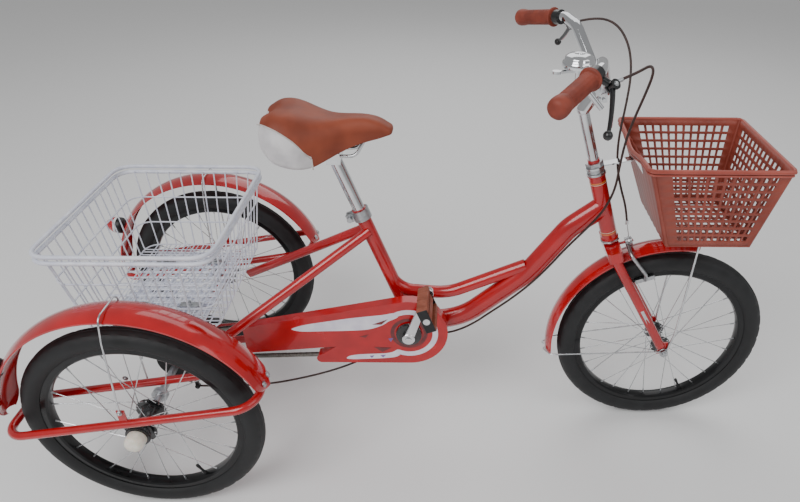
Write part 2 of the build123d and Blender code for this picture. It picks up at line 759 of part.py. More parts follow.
def bearing_cups():
    """Ball bearings on the axle, crank cups and headset cups: rings pressed into the frame."""
    cups = []
    for y in (HANGER_OUTER_Y, HANGER_INNER_Y):
        bearing = ring((0, y, TYRE_R), SIDEWAYS, BEARING_R, REAR_SHAFT_R + RUN_FIT, BEARING_WIDTH)
        cups.append(both_sides(bearing))
    crank_cup = ring((BB_X, BB_HALF - 6, BB_Z), SIDEWAYS, BB_BORE_R, SPINDLE_R + RUN_FIT, 12)
    cups.append(both_sides(crank_cup))
    for end, out in ((HEAD_TUBE_LOW, -6), (HEAD_TUBE_HIGH, 6)):
        hole = STEERER_R + RUN_FIT
        skirt = steer_rod(end - 2 * out, end, HEAD_TUBE_BORE_R, hole)
        cups.append(steer_rod(end, end + out, 20, hole) + skirt)
    return group(*cups)


def band_brake():
    """Fixed cover and friction band round the drum on the drive shaft, hung from the front cross tube."""
    outer = DRUM_R + GAP + BAND_WALL
    band = ring((0, DRUM_Y, TYRE_R), SIDEWAYS, outer, DRUM_R + GAP, DRUM_WIDTH - 4)
    plate_y = DRUM_Y - DRUM_WIDTH / 2 - 2
    plate = ring((0, plate_y, TYRE_R), SIDEWAYS, outer + 4, REAR_SHAFT_R + 4, 2.5)
    foot_z = loop_height(CROSS_FRONT_X) + LOOP_R
    middle = Pos((CROSS_FRONT_X + 20) / 2, plate_y, (foot_z + TYRE_R + 14) / 2)
    arm = middle * Rot(0, -38, 0) * Box(112, 2.5, 18)
    arm -= cross_tube(CROSS_FRONT_X)
    arm -= ring((0, plate_y, TYRE_R), SIDEWAYS, outer, 0, 20)
    skirt = ring((0, plate_y + 4, TYRE_R), SIDEWAYS, outer + 4, outer, 10)
    return plate + biggest(arm) + skirt + band


def brake_arm_pivot():
    return Vector(24, DRUM_Y, TYRE_R - DRUM_R - 16)


def rear_brake_arm():
    """Lever that tightens the band: pulled forward by the cable."""
    pivot = brake_arm_pivot()
    lever = rod((pivot.X, pivot.Y - 4, pivot.Z), (pivot.X, pivot.Y + 4, pivot.Z), 7)
    lever += Pos(pivot.X, pivot.Y, pivot.Z - 16) * Box(9, 5, 32)
    lever += rod((pivot.X, pivot.Y - 5, pivot.Z - 32), (pivot.X, pivot.Y + 5, pivot.Z - 32), 6)
    lever -= rod((pivot.X, pivot.Y - 6, pivot.Z), (pivot.X, pivot.Y + 6, pivot.Z), 3 + RUN_FIT)
    return lever


def rear_brake_pin():
    pivot = brake_arm_pivot()
    pin = rod((pivot.X, pivot.Y - DRUM_WIDTH / 2 - 3, pivot.Z), (pivot.X, pivot.Y + 8, pivot.Z), 3)
    lug_y = pivot.Y - DRUM_WIDTH / 2 - 2
    lug = Pos(pivot.X - 6, lug_y, pivot.Z + 14) * Rot(0, 20, 0) * Box(18, 2.5, 44)
    return pin, lug


def drive_shaft():
    """Right-hand shaft: turns in two bearings with the cog, the drum and the right wheel."""
    shaft = rod((0, -16, TYRE_R), (0, -rear_shaft_reach(), TYRE_R), REAR_SHAFT_R)
    drum = ring((0, DRUM_Y, TYRE_R), SIDEWAYS, DRUM_R, DRUM_R - 4, DRUM_WIDTH - 2)
    web = ring((0, DRUM_Y + DRUM_WIDTH / 2 - 3, TYRE_R), SIDEWAYS, DRUM_R, REAR_SHAFT_R, 4)
    boss = ring((0, DRUM_Y + DRUM_WIDTH / 2 - 1, TYRE_R), SIDEWAYS, 16, REAR_SHAFT_R, 16)
    return shaft + drum + web + boss


def left_shaft():
    """Left-hand shaft: held in the hangers, the left wheel turns on it."""
    shaft = rod((0, 16, TYRE_R), (0, rear_shaft_reach(), TYRE_R), REAR_SHAFT_R)
    collar = HANGER_OUTER_Y + BEARING_WIDTH / 2 + 4
    return shaft + ring((0, collar, TYRE_R), SIDEWAYS, 14, 0, 8)


# ---------------------------------------------------------------- fenders, lamps
def fender_shell(radius, width, front, back):
    """A curved strip of sheet, crowned across its width, with rolled edges."""
    half = width / 2
    crown = FENDER_CROWN
    outer = ThreePointArc((radius - crown, -half), (radius, 0), (radius - crown, half))
    inner_r = radius - FENDER_WALL
    inner = ThreePointArc((inner_r - crown, -half), (inner_r, 0), (inner_r - crown, half))
    side_a = Line((radius - crown, half), (inner_r - crown, half))
    side_b = Line((inner_r - crown, -half), (radius - crown, -half))
    profile = make_face(Wire([outer, side_a, inner, side_b]))
    shell = turned(profile, back - front)
    return Rot(0, -front, 0) * shell


def rear_fender(side):
    shell = fender_shell(REAR_FENDER_R, REAR_FENDER_WIDTH, REAR_FENDER_FRONT, REAR_FENDER_BACK)
    return Pos(FENDER_X, side * RIM_MID_Y, FENDER_Z) * shell


def rear_fender_stay(side):
    """Wire arch from the loop's outer tab over the fender to the inner run."""
    outer_y = RIM_MID_Y + LOOP_HALF_WIDTH
    inner_y = RIM_MID_Y - LOOP_HALF_WIDTH
    start_z = loop_height(-6) + LOOP_R + 24
    top = FENDER_Z + REAR_FENDER_R + 4
    points = [
        (-6, side * (outer_y + 3.6), start_z),
        (2, side * (RIM_MID_Y + 50), top - 50),
        (4, side * (RIM_MID_Y + 38), top),
        (4, side * (RIM_MID_Y - 38), top),
        (2, side * (RIM_MID_Y - 50), top - 50),
        (-6, side * (inner_y - 1), loop_height(-6) + LOOP_R + 3.2),
    ]
    return bent(points, [40, 18, 18, 40], 1.75)


def lamp(side):
    """Rear lamp: black base, white ring and a red cone lens, behind each fender."""
    turn = math.radians(LAMP_DIRECTION)
    out = Vector(math.cos(turn), 0, math.sin(turn))
    foot = Vector(LAMP_FOOT_X, side * RIM_MID_Y, LAMP_FOOT_Z) + out * 3
    plane = Plane(origin=foot, x_dir=(0, 1, 0), z_dir=out)
    base = extrude(plane * Circle(LAMP_R), 16)
    band_plane = Plane(origin=foot + out * 16, x_dir=(0, 1, 0), z_dir=out)
    band = extrude(band_plane * Circle(LAMP_R), 6)
    lens_plane = Plane(origin=foot + out * 22, x_dir=(0, 1, 0), z_dir=out)
    lens = extrude(lens_plane * Circle(LAMP_R - 0.5), LAMP_LENGTH - 22, taper=32)
    base -= Pos(FENDER_X, side * RIM_MID_Y, FENDER_Z) * Rot(90, 0, 0) * Cylinder(REAR_FENDER_R, 60)
    return group(biggest(base), band, lens)


# ---------------------------------------------------------------- seat
def seat_post():
    top, low = seat_point(SEAT_POST_TOP), seat_point(SEAT_POST_TOP - SEAT_POST_LENGTH)
    post = rod(low, top, SEAT_POST_R, SEAT_POST_R - 2)
    cap = rod(seat_point(SEAT_POST_TOP - 6), top, SEAT_POST_R)
    clamp = Pos(top.X, 0, RAIL_Z) * Box(34, 2 * RAIL_Y + 16, 16)
    clamp += Pos(top.X, 0, RAIL_Z - 14) * Box(30, 34, 16)
    for side in (1, -1):
        clamp -= rod((top.X - 40, side * RAIL_Y, RAIL_Z), (top.X + 40, side * RAIL_Y, RAIL_Z), RAIL_R)
    return post + cap + clamp


def saddle_rails():
    """Two steel wires under the saddle, turned up into its base at both ends."""
    rails = []
    for side in (1, -1):
        points = [
            (SADDLE_BACK + 52, side * 40, SADDLE_LOW + 2),
            (SADDLE_BACK + 80, side * RAIL_Y, RAIL_Z),
            (SADDLE_BACK + 185, side * RAIL_Y, RAIL_Z),
            (SADDLE_NOSE - 52, side * 12, SADDLE_LOW + 34),
        ]
        rails.append(bent(points, [22, 22], RAIL_R))
    return group(*rails)


def saddle_plan():
    nose, back = SADDLE_NOSE, SADDLE_BACK
    half = [
        (back, 0),
        (back + 6, SADDLE_HALF * 0.5),
        (back + 42, SADDLE_HALF),
        (back + 100, SADDLE_HALF * 0.8),
        (back + 160, NOSE_HALF * 1.6),
        (nose - 30, NOSE_HALF),
        (nose, 0),
    ]
    upper = Spline(*half, tangents=((0, 1), (0, -1)))
    lower = Spline(*[(x, -y) for x, y in half], tangents=((0, -1), (0, 1)))
    return make_face(Wire([upper, lower]))


def saddle_side():
    nose, back = SADDLE_NOSE, SADDLE_BACK
    top = Spline(
        (back - 2, SADDLE_TOP - 40),
        (back + 40, SADDLE_TOP),
        (back + 150, SADDLE_TOP - 22),
        (nose - 50, SADDLE_TOP - 22),
        (nose + 2, SADDLE_TOP - 46),
    )
    low = Polyline(
        (nose + 2, SADDLE_TOP - 46),
        (nose - 40, SADDLE_TOP - 56),
        (back + 190, SADDLE_LOW + 6),
        (back + 60, SADDLE_LOW),
        (back - 2, SADDLE_LOW + 20),
        (back - 2, SADDLE_TOP - 40),
    )
    return make_face(Wire([*top.edges(), *low.edges()]))


def saddle_cushion():
    """Closed saddle body: wide at the back, a narrow dropped nose, deep side skirts."""
    plan = extrude(Pos(0, 0, SADDLE_LOW - 20) * saddle_plan(), 140)
    body = biggest(plan & extrude(side_view(150) * saddle_side(), 300))
    for rail in saddle_rails().solids():
        body = body - rail
    return biggest(body)


def seat_clamp():
    """Split collar at the top of the seat tube, with its bolt behind."""
    top = seat_point(SEAT_TUBE_LENGTH - 14)
    plane = Plane(origin=top, x_dir=(0, 1, 0), z_dir=SEAT_UP)
    collar = plane * Cylinder(SEAT_TUBE_R + 4, 24)
    ears = plane * Pos(0, 24, 0) * Box(20, 18, 18)
    collar += ears
    collar -= plane * Pos(0, 26, 0) * Box(3, 30, 40)
    collar -= plane * Cylinder(SEAT_TUBE_R, 60)
    bolt_at = Vector(top.X, 0, top.Z) + (plane.y_dir * 26)
    bolt = rod((bolt_at.X, -18, bolt_at.Z), (bolt_at.X, 18, bolt_at.Z), 3)
    nut = ring((bolt_at.X, 14, bolt_at.Z), SIDEWAYS, 6, 3, 8)
    head = ring((bolt_at.X, -14, bolt_at.Z), SIDEWAYS, 6, 3, 8)
    collar -= rod((bolt_at.X, -18, bolt_at.Z), (bolt_at.X, 18, bolt_at.Z), 3)
    return group(collar, bolt + nut + head)


# ---------------------------------------------------------------- steering
def fork_blade_points():
    top = steer_point(-2, BLADE_Y, 6)
    return [
        top,
        (WHEELBASE - 92, BLADE_Y + 2, TYRE_R + 156),
        (WHEELBASE - 9, HUB_HALF + 4, TYRE_R + 16),
    ]


def fork():
    """Steerer tube, crown, two raked blades and their dropouts, brazed into one."""
    steerer = steer_rod(0, HEAD_TUBE_HIGH + 34, STEERER_R, QUILL_R + RUN_FIT)
    crown = STEER * Pos(0, 0, CROWN_HEIGHT / 2) * Box(34, 2 * BLADE_Y + 24, CROWN_HEIGHT)
    crown = fillet(crown.edges().filter_by(Axis(CROWN, STEER_UP)), 12)
    crown -= steer_rod(-5, 40, QUILL_R + RUN_FIT)
    bolt = rod(caliper_pivot() - FORWARD * 22, caliper_pivot() + FORWARD * 18, BRAKE_BOLT_R)
    fork_body = steerer + crown + bolt
    for side in (1, -1):
        blade = bent(fork_blade_points(), [420], BLADE_R, BLADE_R - 2)
        drop = Pos(WHEELBASE - 2, HUB_HALF + DROPOUT_WALL / 2, TYRE_R + 8) * Box(22, DROPOUT_WALL, 34)
        blade += drop
        blade -= rod((WHEELBASE, 30, TYRE_R), (WHEELBASE, 80, TYRE_R), FRONT_SHAFT_R)
        if side < 0:
            blade = other_side(blade)
        fork_body += blade
    return biggest(fork_body)


def headset_nut():
    """Chrome top race and lock nut on the steerer, above the upper cup."""
    low = HEAD_TUBE_HIGH + 6 + GAP
    race = steer_rod(low, low + 9, 19, STEERER_R)
    nut = Plane(origin=steer_point(0, 0, low + 13), x_dir=FORWARD, z_dir=STEER_UP) * RegularPolygon(19, 6)
    nut = extrude(nut, 9) - steer_rod(low, low + 40, STEERER_R)
    return group(race, nut)


def bar_clamp():
    return Vector(BAR_CLAMP_X, 0, BAR_CLAMP_Z)


def stem():
    """Quill stem: a straight quill that leans forward to the bar clamp above its kink."""
    low = steer_point(0, 0, HEAD_TUBE_HIGH - 70)
    kink = steer_point(0, 0, STEM_TOP)
    clamp = bar_clamp()
    quill = rod(low, kink, QUILL_R)
    quill += Pos(kink.X, kink.Y, kink.Z) * Sphere(QUILL_R + 2)
    reach = rod(kink, clamp, QUILL_R + 2)
    body = quill + reach + ring(clamp, SIDEWAYS, BAR_R + 7, 0, 44)
    body -= rod((clamp.X, -60, clamp.Z), (clamp.X, 60, clamp.Z), BAR_R)
    ear = Pos(clamp.X + 6, 0, clamp.Z - 24) * Box(14, 26, 16)
    ear -= rod((clamp.X, -60, clamp.Z), (clamp.X, 60, clamp.Z), BAR_R)
    bolt = rod((clamp.X + 6, -19, clamp.Z - 27), (clamp.X + 6, 19, clamp.Z - 27), 4)
    return biggest(body + ear + bolt)


def bar_points():
    """Right-to-left centre line of the handlebar."""
    half = [
        (BAR_CLAMP_X, 50, BAR_CLAMP_Z),
        (BAR_CLAMP_X - 36, 135, BAR_CLAMP_Z + 79),
        (BAR_CLAMP_X - 50, 196, BAR_CLAMP_Z + 83),
        (BAR_CLAMP_X - 135, 313, BAR_CLAMP_Z + 57),
    ]
    return [(x, -y, z) for x, y, z in reversed(half)] + half


def handlebar():
    return bent(bar_points(), BAR_BENDS, BAR_R, BAR_R - TUBE_WALL)


def grip_line(side):
    """End of the bar and the direction back along the grip, for one side."""
    points = bar_points()
    end = Vector(*(points[-1] if side > 0 else points[0]))
    before = Vector(*(points[-2] if side > 0 else points[1]))
    return end, (before - end).normalized()


def grip(side):
    end, inward = grip_line(side)
    start = end - inward * 6
    body = rod(start, start + inward * GRIP_LENGTH, GRIP_R)
    flange_at = start + inward * (GRIP_LENGTH - 4)
    body += rod(flange_at, flange_at + inward * 4, GRIP_R + 4)
    body += rod(start, start + inward * 30, GRIP_R + 2)
    body -= rod(end, end + inward * (GRIP_LENGTH + 20), BAR_R)
    return body


def lever_frame(side):
    """Clamp centre, lever pivot, ball end, grip direction and pull axis of a brake lever."""
    end, inward = grip_line(side)
    clamp = end + inward * (GRIP_LENGTH + 2)
    pivot = Vector(clamp.X + 33, clamp.Y + side * 2, clamp.Z - 14)
    ball = Vector(pivot.X - 14, pivot.Y + side * 70, pivot.Z - 54)
    along = (ball - pivot).normalized()
    ball = pivot + along * LEVER_LENGTH
    from_bar = ball - end
    to_grip = (inward * from_bar.dot(inward) - from_bar).normalized()
    axis = along.cross(to_grip).normalized()
    return clamp, pivot, ball, inward, axis


def lever_bracket(side):
    """Clamp band on the bar with the lever's forked housing in front of it."""
    clamp, pivot, ball, inward, axis = lever_frame(side)
    band = rod(clamp - inward * 3, clamp + inward * 13, BAR_R + 4)
    middle = clamp + inward * 5
    arm = rod(middle, pivot, 6)
    plate_a = rod(pivot + axis * 5.4, pivot + axis * 8.4, 9)
    plate_b = rod(pivot - axis * 5.4, pivot - axis * 8.4, 9)
    body = band + arm + plate_a + plate_b
    back = (middle - pivot).normalized()
    for side_of_eye in (6.9, -6.9):
        rib_start = pivot + axis * side_of_eye
        body += rod(rib_start, rib_start + back * 22, 1.5)
    body -= rod(pivot - axis * 5.4, pivot + axis * 5.4, 10)
    body -= rod(clamp - inward * 30, clamp + inward * 40, BAR_R)
    pin = rod(pivot - axis * 8.4, pivot + axis * 8.4, 2.5)
    return biggest(body + pin)


def brake_lever(side):
    """Blade with a ball end that turns about its pivot towards the grip."""
    clamp, pivot, ball, inward, axis = lever_frame(side)
    eye = rod(pivot - axis * 5, pivot + axis * 5, 7.5)
    along = (ball - pivot).normalized()
    blade = rod(pivot, ball, 4.6)
    lever = eye + blade + Pos(*ball) * Sphere(8)
    return lever - rod(pivot - axis * 12, pivot + axis * 12, 2.5 + RUN_FIT)


def bell_place():
    return Vector(BAR_CLAMP_X - 66, -88, BAR_CLAMP_Z + 58)


def bell():
    """Stepped bell dome on a base that clamps the right side of the bar."""
    place = bell_place()
    dome_line = [
        (0, 0),
        (BELL_R, 0),
        (BELL_R, 9),
        (BELL_R - 3, 12),
        (BELL_R - 4, 17),
        (BELL_R - 12, BELL_HEIGHT),
        (0, BELL_HEIGHT),
    ]
    profile = Polygon(*dome_line, align=None)
    dome = revolve(Plane.XZ * profile, axis=Axis.Z)
    hollow = Pos(0, 0, -1) * Cylinder(BELL_R - 3, 10, align=(Align.CENTER, Align.CENTER, Align.MIN))
    dome -= hollow
    dome = Pos(place.X, place.Y, place.Z) * dome
    post = rod((place.X, place.Y, place.Z - 22), (place.X, place.Y, place.Z + BELL_HEIGHT - 6), 5)
    foot = rod((place.X, place.Y, place.Z - 19), (BAR_CLAMP_X - 18, place.Y + 4, place.Z - 26), 6)
    foot -= bent(bar_points(), BAR_BENDS, BAR_R)
    return biggest(dome + post) + max(foot.solids(), key=lambda s: -s.center().X)


def bell_lever():
    """Thumb lever that turns on the bell's post."""
    place = bell_place()
    z = place.Z - 7
    eye = ring((place.X, place.Y, z), (0, 0, 1), 9, 5 + RUN_FIT, 5)
    arm = Pos(place.X - 22, place.Y - 6, z) * Rot(0, 0, 15) * Box(36, 9, 4)
    pad = Pos(place.X - 40, place.Y - 11, z) * Cylinder(8, 5)
    return eye + arm - rod((place.X, place.Y, z - 5), (place.X, place.Y, z + 5), 5 + RUN_FIT) + pad


def front_fender():
    shell = fender_shell(FRONT_FENDER_R, FRONT_FENDER_WIDTH, FRONT_FENDER_FRONT, FRONT_FENDER_BACK)
    return Pos(WHEELBASE, 0, TYRE_R) * shell


def front_axle():
    shaft = rod((WHEELBASE, -70, TYRE_R), (WHEELBASE, 70, TYRE_R), FRONT_SHAFT_R)
    nut_plane = Plane(origin=(WHEELBASE, HUB_HALF + DROPOUT_WALL + 5, TYRE_R), z_dir=(0, 1, 0))
    nut = extrude(nut_plane * RegularPolygon(10, 6), 8)
    nut -= rod((WHEELBASE, 40, TYRE_R), (WHEELBASE, 90, TYRE_R), FRONT_SHAFT_R)
    return group(shaft, nut, other_side(nut))


def front_stays():
    """Wire stays from the axle: one pair to the fender's tail, one pair up to the basket."""
    stays = []
    y = HUB_HALF + DROPOUT_WALL + 2.5
    eye = ring((WHEELBASE, y, TYRE_R), SIDEWAYS, 10, FRONT_SHAFT_R, 5)
    floor_z = FRONT_BASKET_Z - FRONT_BASKET_DEPTH
    up_points = [
        (WHEELBASE + 9, y, TYRE_R + 5),
        (WHEELBASE + 14, y + 9, TYRE_R + 60),
        (WHEELBASE + 20, y + 3, floor_z - 5),
        (WHEELBASE + 20, y - 36, floor_z - 2.8),
    ]
    up = bent(up_points, [60, 9], 2.5)
    tail_angle = math.radians(FRONT_FENDER_BACK - 4)
    tail_r = FRONT_FENDER_R + 2.4
    tail = (WHEELBASE + tail_r * math.cos(tail_angle), 0, TYRE_R + tail_r * math.sin(tail_angle))
    side_points = [
        (WHEELBASE - 8, y, TYRE_R - 1),
        (tail[0] + 12, FRONT_FENDER_WIDTH / 2 + 8, tail[2]),
        (tail[0] - 1, 14, tail[2]),
    ]
    side = bent(side_points, [12], 2)
    stays.append(eye + up + side)
    stays.append(other_side(stays[0]))
    return group(*stays)


def tapered_tray(rim, floor, top, depth, wall, corner):
    """Open tray with sloping walls. Rim and floor are (back, front, half width)."""
    outer, inner = [], []
    for (back, front, half), z in ((floor, top - depth), (rim, top)):
        place = Pos((back + front) / 2, 0, z)
        outer.append(place * RectangleRounded(front - back, 2 * half, corner))
        length, width = front - back - 2 * wall, 2 * (half - wall)
        inner.append(place * RectangleRounded(length, width, corner - wall))
    upright = (Align.CENTER, Align.CENTER, Align.MIN)
    above_floor = Pos(0, 0, top - depth + wall) * Box(4 * rim[1], 4 * rim[2], depth, align=upright)
    return loft(outer) - (loft(inner) & above_floor)


def front_basket():
    """Moulded basket: a sloping tray with a lip folded out round its rim."""
    rim = (FRONT_BASKET_BACK, FRONT_BASKET_FRONT, FRONT_BASKET_HALF)
    floor = (FRONT_BASKET_FLOOR_BACK, FRONT_BASKET_FLOOR_FRONT, FRONT_BASKET_FLOOR_HALF)
    tray = tapered_tray(rim, floor, FRONT_BASKET_Z, FRONT_BASKET_DEPTH, BASKET_WALL, 22)
    length, width = FRONT_BASKET_FRONT - FRONT_BASKET_BACK, 2 * FRONT_BASKET_HALF
    lip = RectangleRounded(length + 12, width + 12, 28)
    lip -= RectangleRounded(length - 2 * BASKET_WALL, width - 2 * BASKET_WALL, 22 - BASKET_WALL)
    middle = (FRONT_BASKET_FRONT + FRONT_BASKET_BACK) / 2
    return tray + extrude(Pos(middle, 0, FRONT_BASKET_Z - 6) * lip, 6)


def basket_bracket():
    """Chrome arm from the headset forward to a plate on the basket's back wall."""
    low = HEAD_TUBE_HIGH + 6 + GAP + 9
    clamp = steer_rod(low, low + 4, 20, STEERER_R)
    start = steer_point(18, 0, low + 2)
    slope = (FRONT_BASKET_FLOOR_BACK - FRONT_BASKET_BACK) / FRONT_BASKET_DEPTH
    end_z = FRONT_BASKET_Z - 36
    wall_x = FRONT_BASKET_BACK + slope * (FRONT_BASKET_Z - end_z)
    end = Vector(wall_x - 4, 0, end_z)
    run = end - start
    tilt = math.degrees(math.atan2(run.Z, run.X))
    middle = (start + end) * 0.5
    arm = Pos(middle.X, 0, middle.Z) * Rot(0, -tilt, 0) * Box(run.length, 20, 3)
    lean = math.degrees(math.atan(slope))
    plate = Pos(wall_x - 2.2, 0, end_z) * Rot(0, -lean, 0) * Box(3, 90, 34)
    arm -= steer_rod(low - 20, low + 40, STEERER_R)
    return clamp + arm + plate - front_basket()


def rear_basket_rim():
    """Two stacked wire rings that form the basket's rim."""
    length = REAR_BASKET_FRONT - REAR_BASKET_BACK
    middle = (REAR_BASKET_FRONT + REAR_BASKET_BACK) / 2
    rings = []
    for drop in (0, 14):
        outline = RectangleRounded(length, 2 * REAR_BASKET_HALF, RIM_CORNER_R).wire()
        wire = Pos(middle, 0, REAR_BASKET_Z - drop) * outline
        section = Plane(origin=wire @ 0, z_dir=wire % 0) * Circle(RIM_TUBE_R)
        rings.append(sweep(section, path=wire))
    return group(*rings)


def rear_basket_mesh():
    """Thin tray on the lines of the basket's wire mesh, hung inside the rim."""
    back, front, half = REAR_BASKET_BACK, REAR_BASKET_FRONT, REAR_BASKET_HALF
    rim = (back + RIM_TUBE_R, front - RIM_TUBE_R, half - RIM_TUBE_R)
    t = REAR_BASKET_TAPER
    floor = (back + t, front - t, half - t)
    corner = RIM_CORNER_R - RIM_TUBE_R
    return tapered_tray(rim, floor, REAR_BASKET_Z, REAR_BASKET_DEPTH, WIRE_WALL, corner)


# ---------------------------------------------------------------- front brake
def caliper_pivot():
    return steer_point(32, 0, 13)


def pad_point(side):
    turn = math.radians(110.0)
    r = (RIM_OUTER_R + RIM_INNER_R) / 2 + 1
    y = side * (RIM_WIDTH / 2 + 3)
    return Vector(WHEELBASE + r * math.cos(turn), y, TYRE_R + r * math.sin(turn))


def caliper_arm(side):
    """One arm of the side-pull brake, from the crown bolt down to its pad by the rim."""
    pivot = caliper_pivot()
    shift = 9 if side > 0 else 0
    hub = pivot + FORWARD * shift
    eye = rod(hub, hub + FORWARD * 6, 10)
    pad = pad_point(side)
    middle = hub + FORWARD * 3
    points = [
        middle,
        (middle.X + 6, side * 42, middle.Z - 16),
        (pad.X - 6, side * 40, pad.Z + 24),
        (pad.X, side * 27, pad.Z),
    ]
    arm = bent(points, [16, 22], 4.2)
    arm = arm + eye
    arm -= rod(hub - FORWARD * 5, hub + FORWARD * 20, BRAKE_BOLT_R + RUN_FIT)
    tangent = Vector(math.sin(math.radians(110)), 0, -math.cos(math.radians(110)))
    plane = Plane(origin=pad, x_dir=tangent, z_dir=(0, side, 0))
    block = plane * Pos(0, 0, 4) * Box(44, 10, 8)
    return biggest(arm + block)


# ---------------------------------------------------------------- cables
def cable_bends(points):
    """Arc radius at each corner of a cable's route: 0.45 of the shorter run over tan of half the turn."""
    bends = []
    for before, here, after in zip(points, points[1:], points[2:]):
        a = Vector(*here) - Vector(*before)
        b = Vector(*after) - Vector(*here)
        half_turn = math.radians(a.get_angle(b)) / 2
        bends.append(0.45 * min(a.length, b.length) / math.tan(half_turn))
    return bends


def cable(name, points):
    bends = cable_bends(points)
    print(name, "bend radii", [round(r, 1) for r in bends])
    return bent(points, bends, CABLE_R)


def front_cable_points():
    """From the left lever round in front of the bars and down to the front brake."""
    clamp, pivot, ball, inward, axis = lever_frame(1)
    return [
        (pivot.X + 9, pivot.Y - 8, pivot.Z + 6),
        (BAR_CLAMP_X + 14, 196, BAR_CLAMP_Z + 84),
        (BAR_CLAMP_X + 54, 166, BAR_CLAMP_Z + 78),
        (BAR_CLAMP_X + 78, 132, BAR_CLAMP_Z + 42),
        (BAR_CLAMP_X + 82, 96, BAR_CLAMP_Z - 6),
        (BAR_CLAMP_X + 72, 62, BAR_CLAMP_Z - 60),
        (BAR_CLAMP_X + 60, 36, BAR_CLAMP_Z - 118),
        (BAR_CLAMP_X + 62, 26, BAR_CLAMP_Z - 176),
        (BAR_CLAMP_X + 78, 22, BAR_CLAMP_Z - 232),
        (BAR_CLAMP_X + 98, 22, BAR_CLAMP_Z - 280),
        (BAR_CLAMP_X + 106, 22, BAR_CLAMP_Z - 318),
    ]


def rear_cable_points():
    """From the right lever past the head tube, along the beam, under the cranks to the band brake."""
    clamp, pivot, ball, inward, axis = lever_frame(-1)
    arm = brake_arm_pivot()
    return [
        (pivot.X + 9, pivot.Y + 8, pivot.Z + 6),
        (BAR_CLAMP_X + 10, -198, BAR_CLAMP_Z + 80),
        (BAR_CLAMP_X + 38, -172, BAR_CLAMP_Z + 86),
        (BAR_CLAMP_X + 56, -136, BAR_CLAMP_Z + 62),
        (BAR_CLAMP_X + 58, -102, BAR_CLAMP_Z + 14),
        (BAR_CLAMP_X + 55, -72, BAR_CLAMP_Z - 40),
        (BAR_CLAMP_X + 52, -48, BAR_CLAMP_Z - 96),
        (BAR_CLAMP_X + 52, -36, BAR_CLAMP_Z - 154),
        (BAR_CLAMP_X + 52, -32, BAR_CLAMP_Z - 212),
        (BAR_CLAMP_X + 34, -31, BAR_CLAMP_Z - 264),
        (BAR_CLAMP_X + 2, -29, BAR_CLAMP_Z - 310),
        (CROWN_X - 112, -26, BB_Z + 214),
        (CROWN_X - 146, -26, BB_Z + 164),
        (CROWN_X - 184, -26, BB_Z + 116),
        (CROWN_X - 228, -26, BB_Z + 72),
        (BB_X + 194, -26, BB_Z + 34),
        (BB_X + 150, -26, BB_Z - 4),
        (BB_X + 104, -26, BB_Z - 28),
        (BB_X + 54, -25, BB_Z - 36),
        (BB_X + 2, -24, BB_Z - 42),
        (BB_X - 44, -25, BB_Z - 62),
        (BB_X - 86, -27, BB_Z - 90),
        (BB_X - 130, -31, BB_Z - 118),
        (BB_X - 180, -38, BB_Z - 137),
        (BB_X - 232, -50, BB_Z - 147),
        (BB_X - 284, -64, BB_Z - 151),
        (BB_X - 336, -78, BB_Z - 152),
        (BB_X - 388, -88, BB_Z - 150),
        (BB_X - 440, -92, BB_Z - 149),
        (BB_X - 482, -92, BB_Z - 150),
        (arm.X + 6.3, arm.Y, arm.Z - 32),
    ]


# ---------------------------------------------------------------- the nodes
def wheel_nodes(name, place, hub, flange_r, flange_y):
    """A wheel's tyre, rim, spokes and hub, moved to its place."""
    return {
        name + "_tyre": place * tyre_ring(),
        name + "_rim": place * rim_ring(),
        name + "_spokes": place * spoke_set(flange_r, flange_y),
        name + "_hub": place * hub,
    }


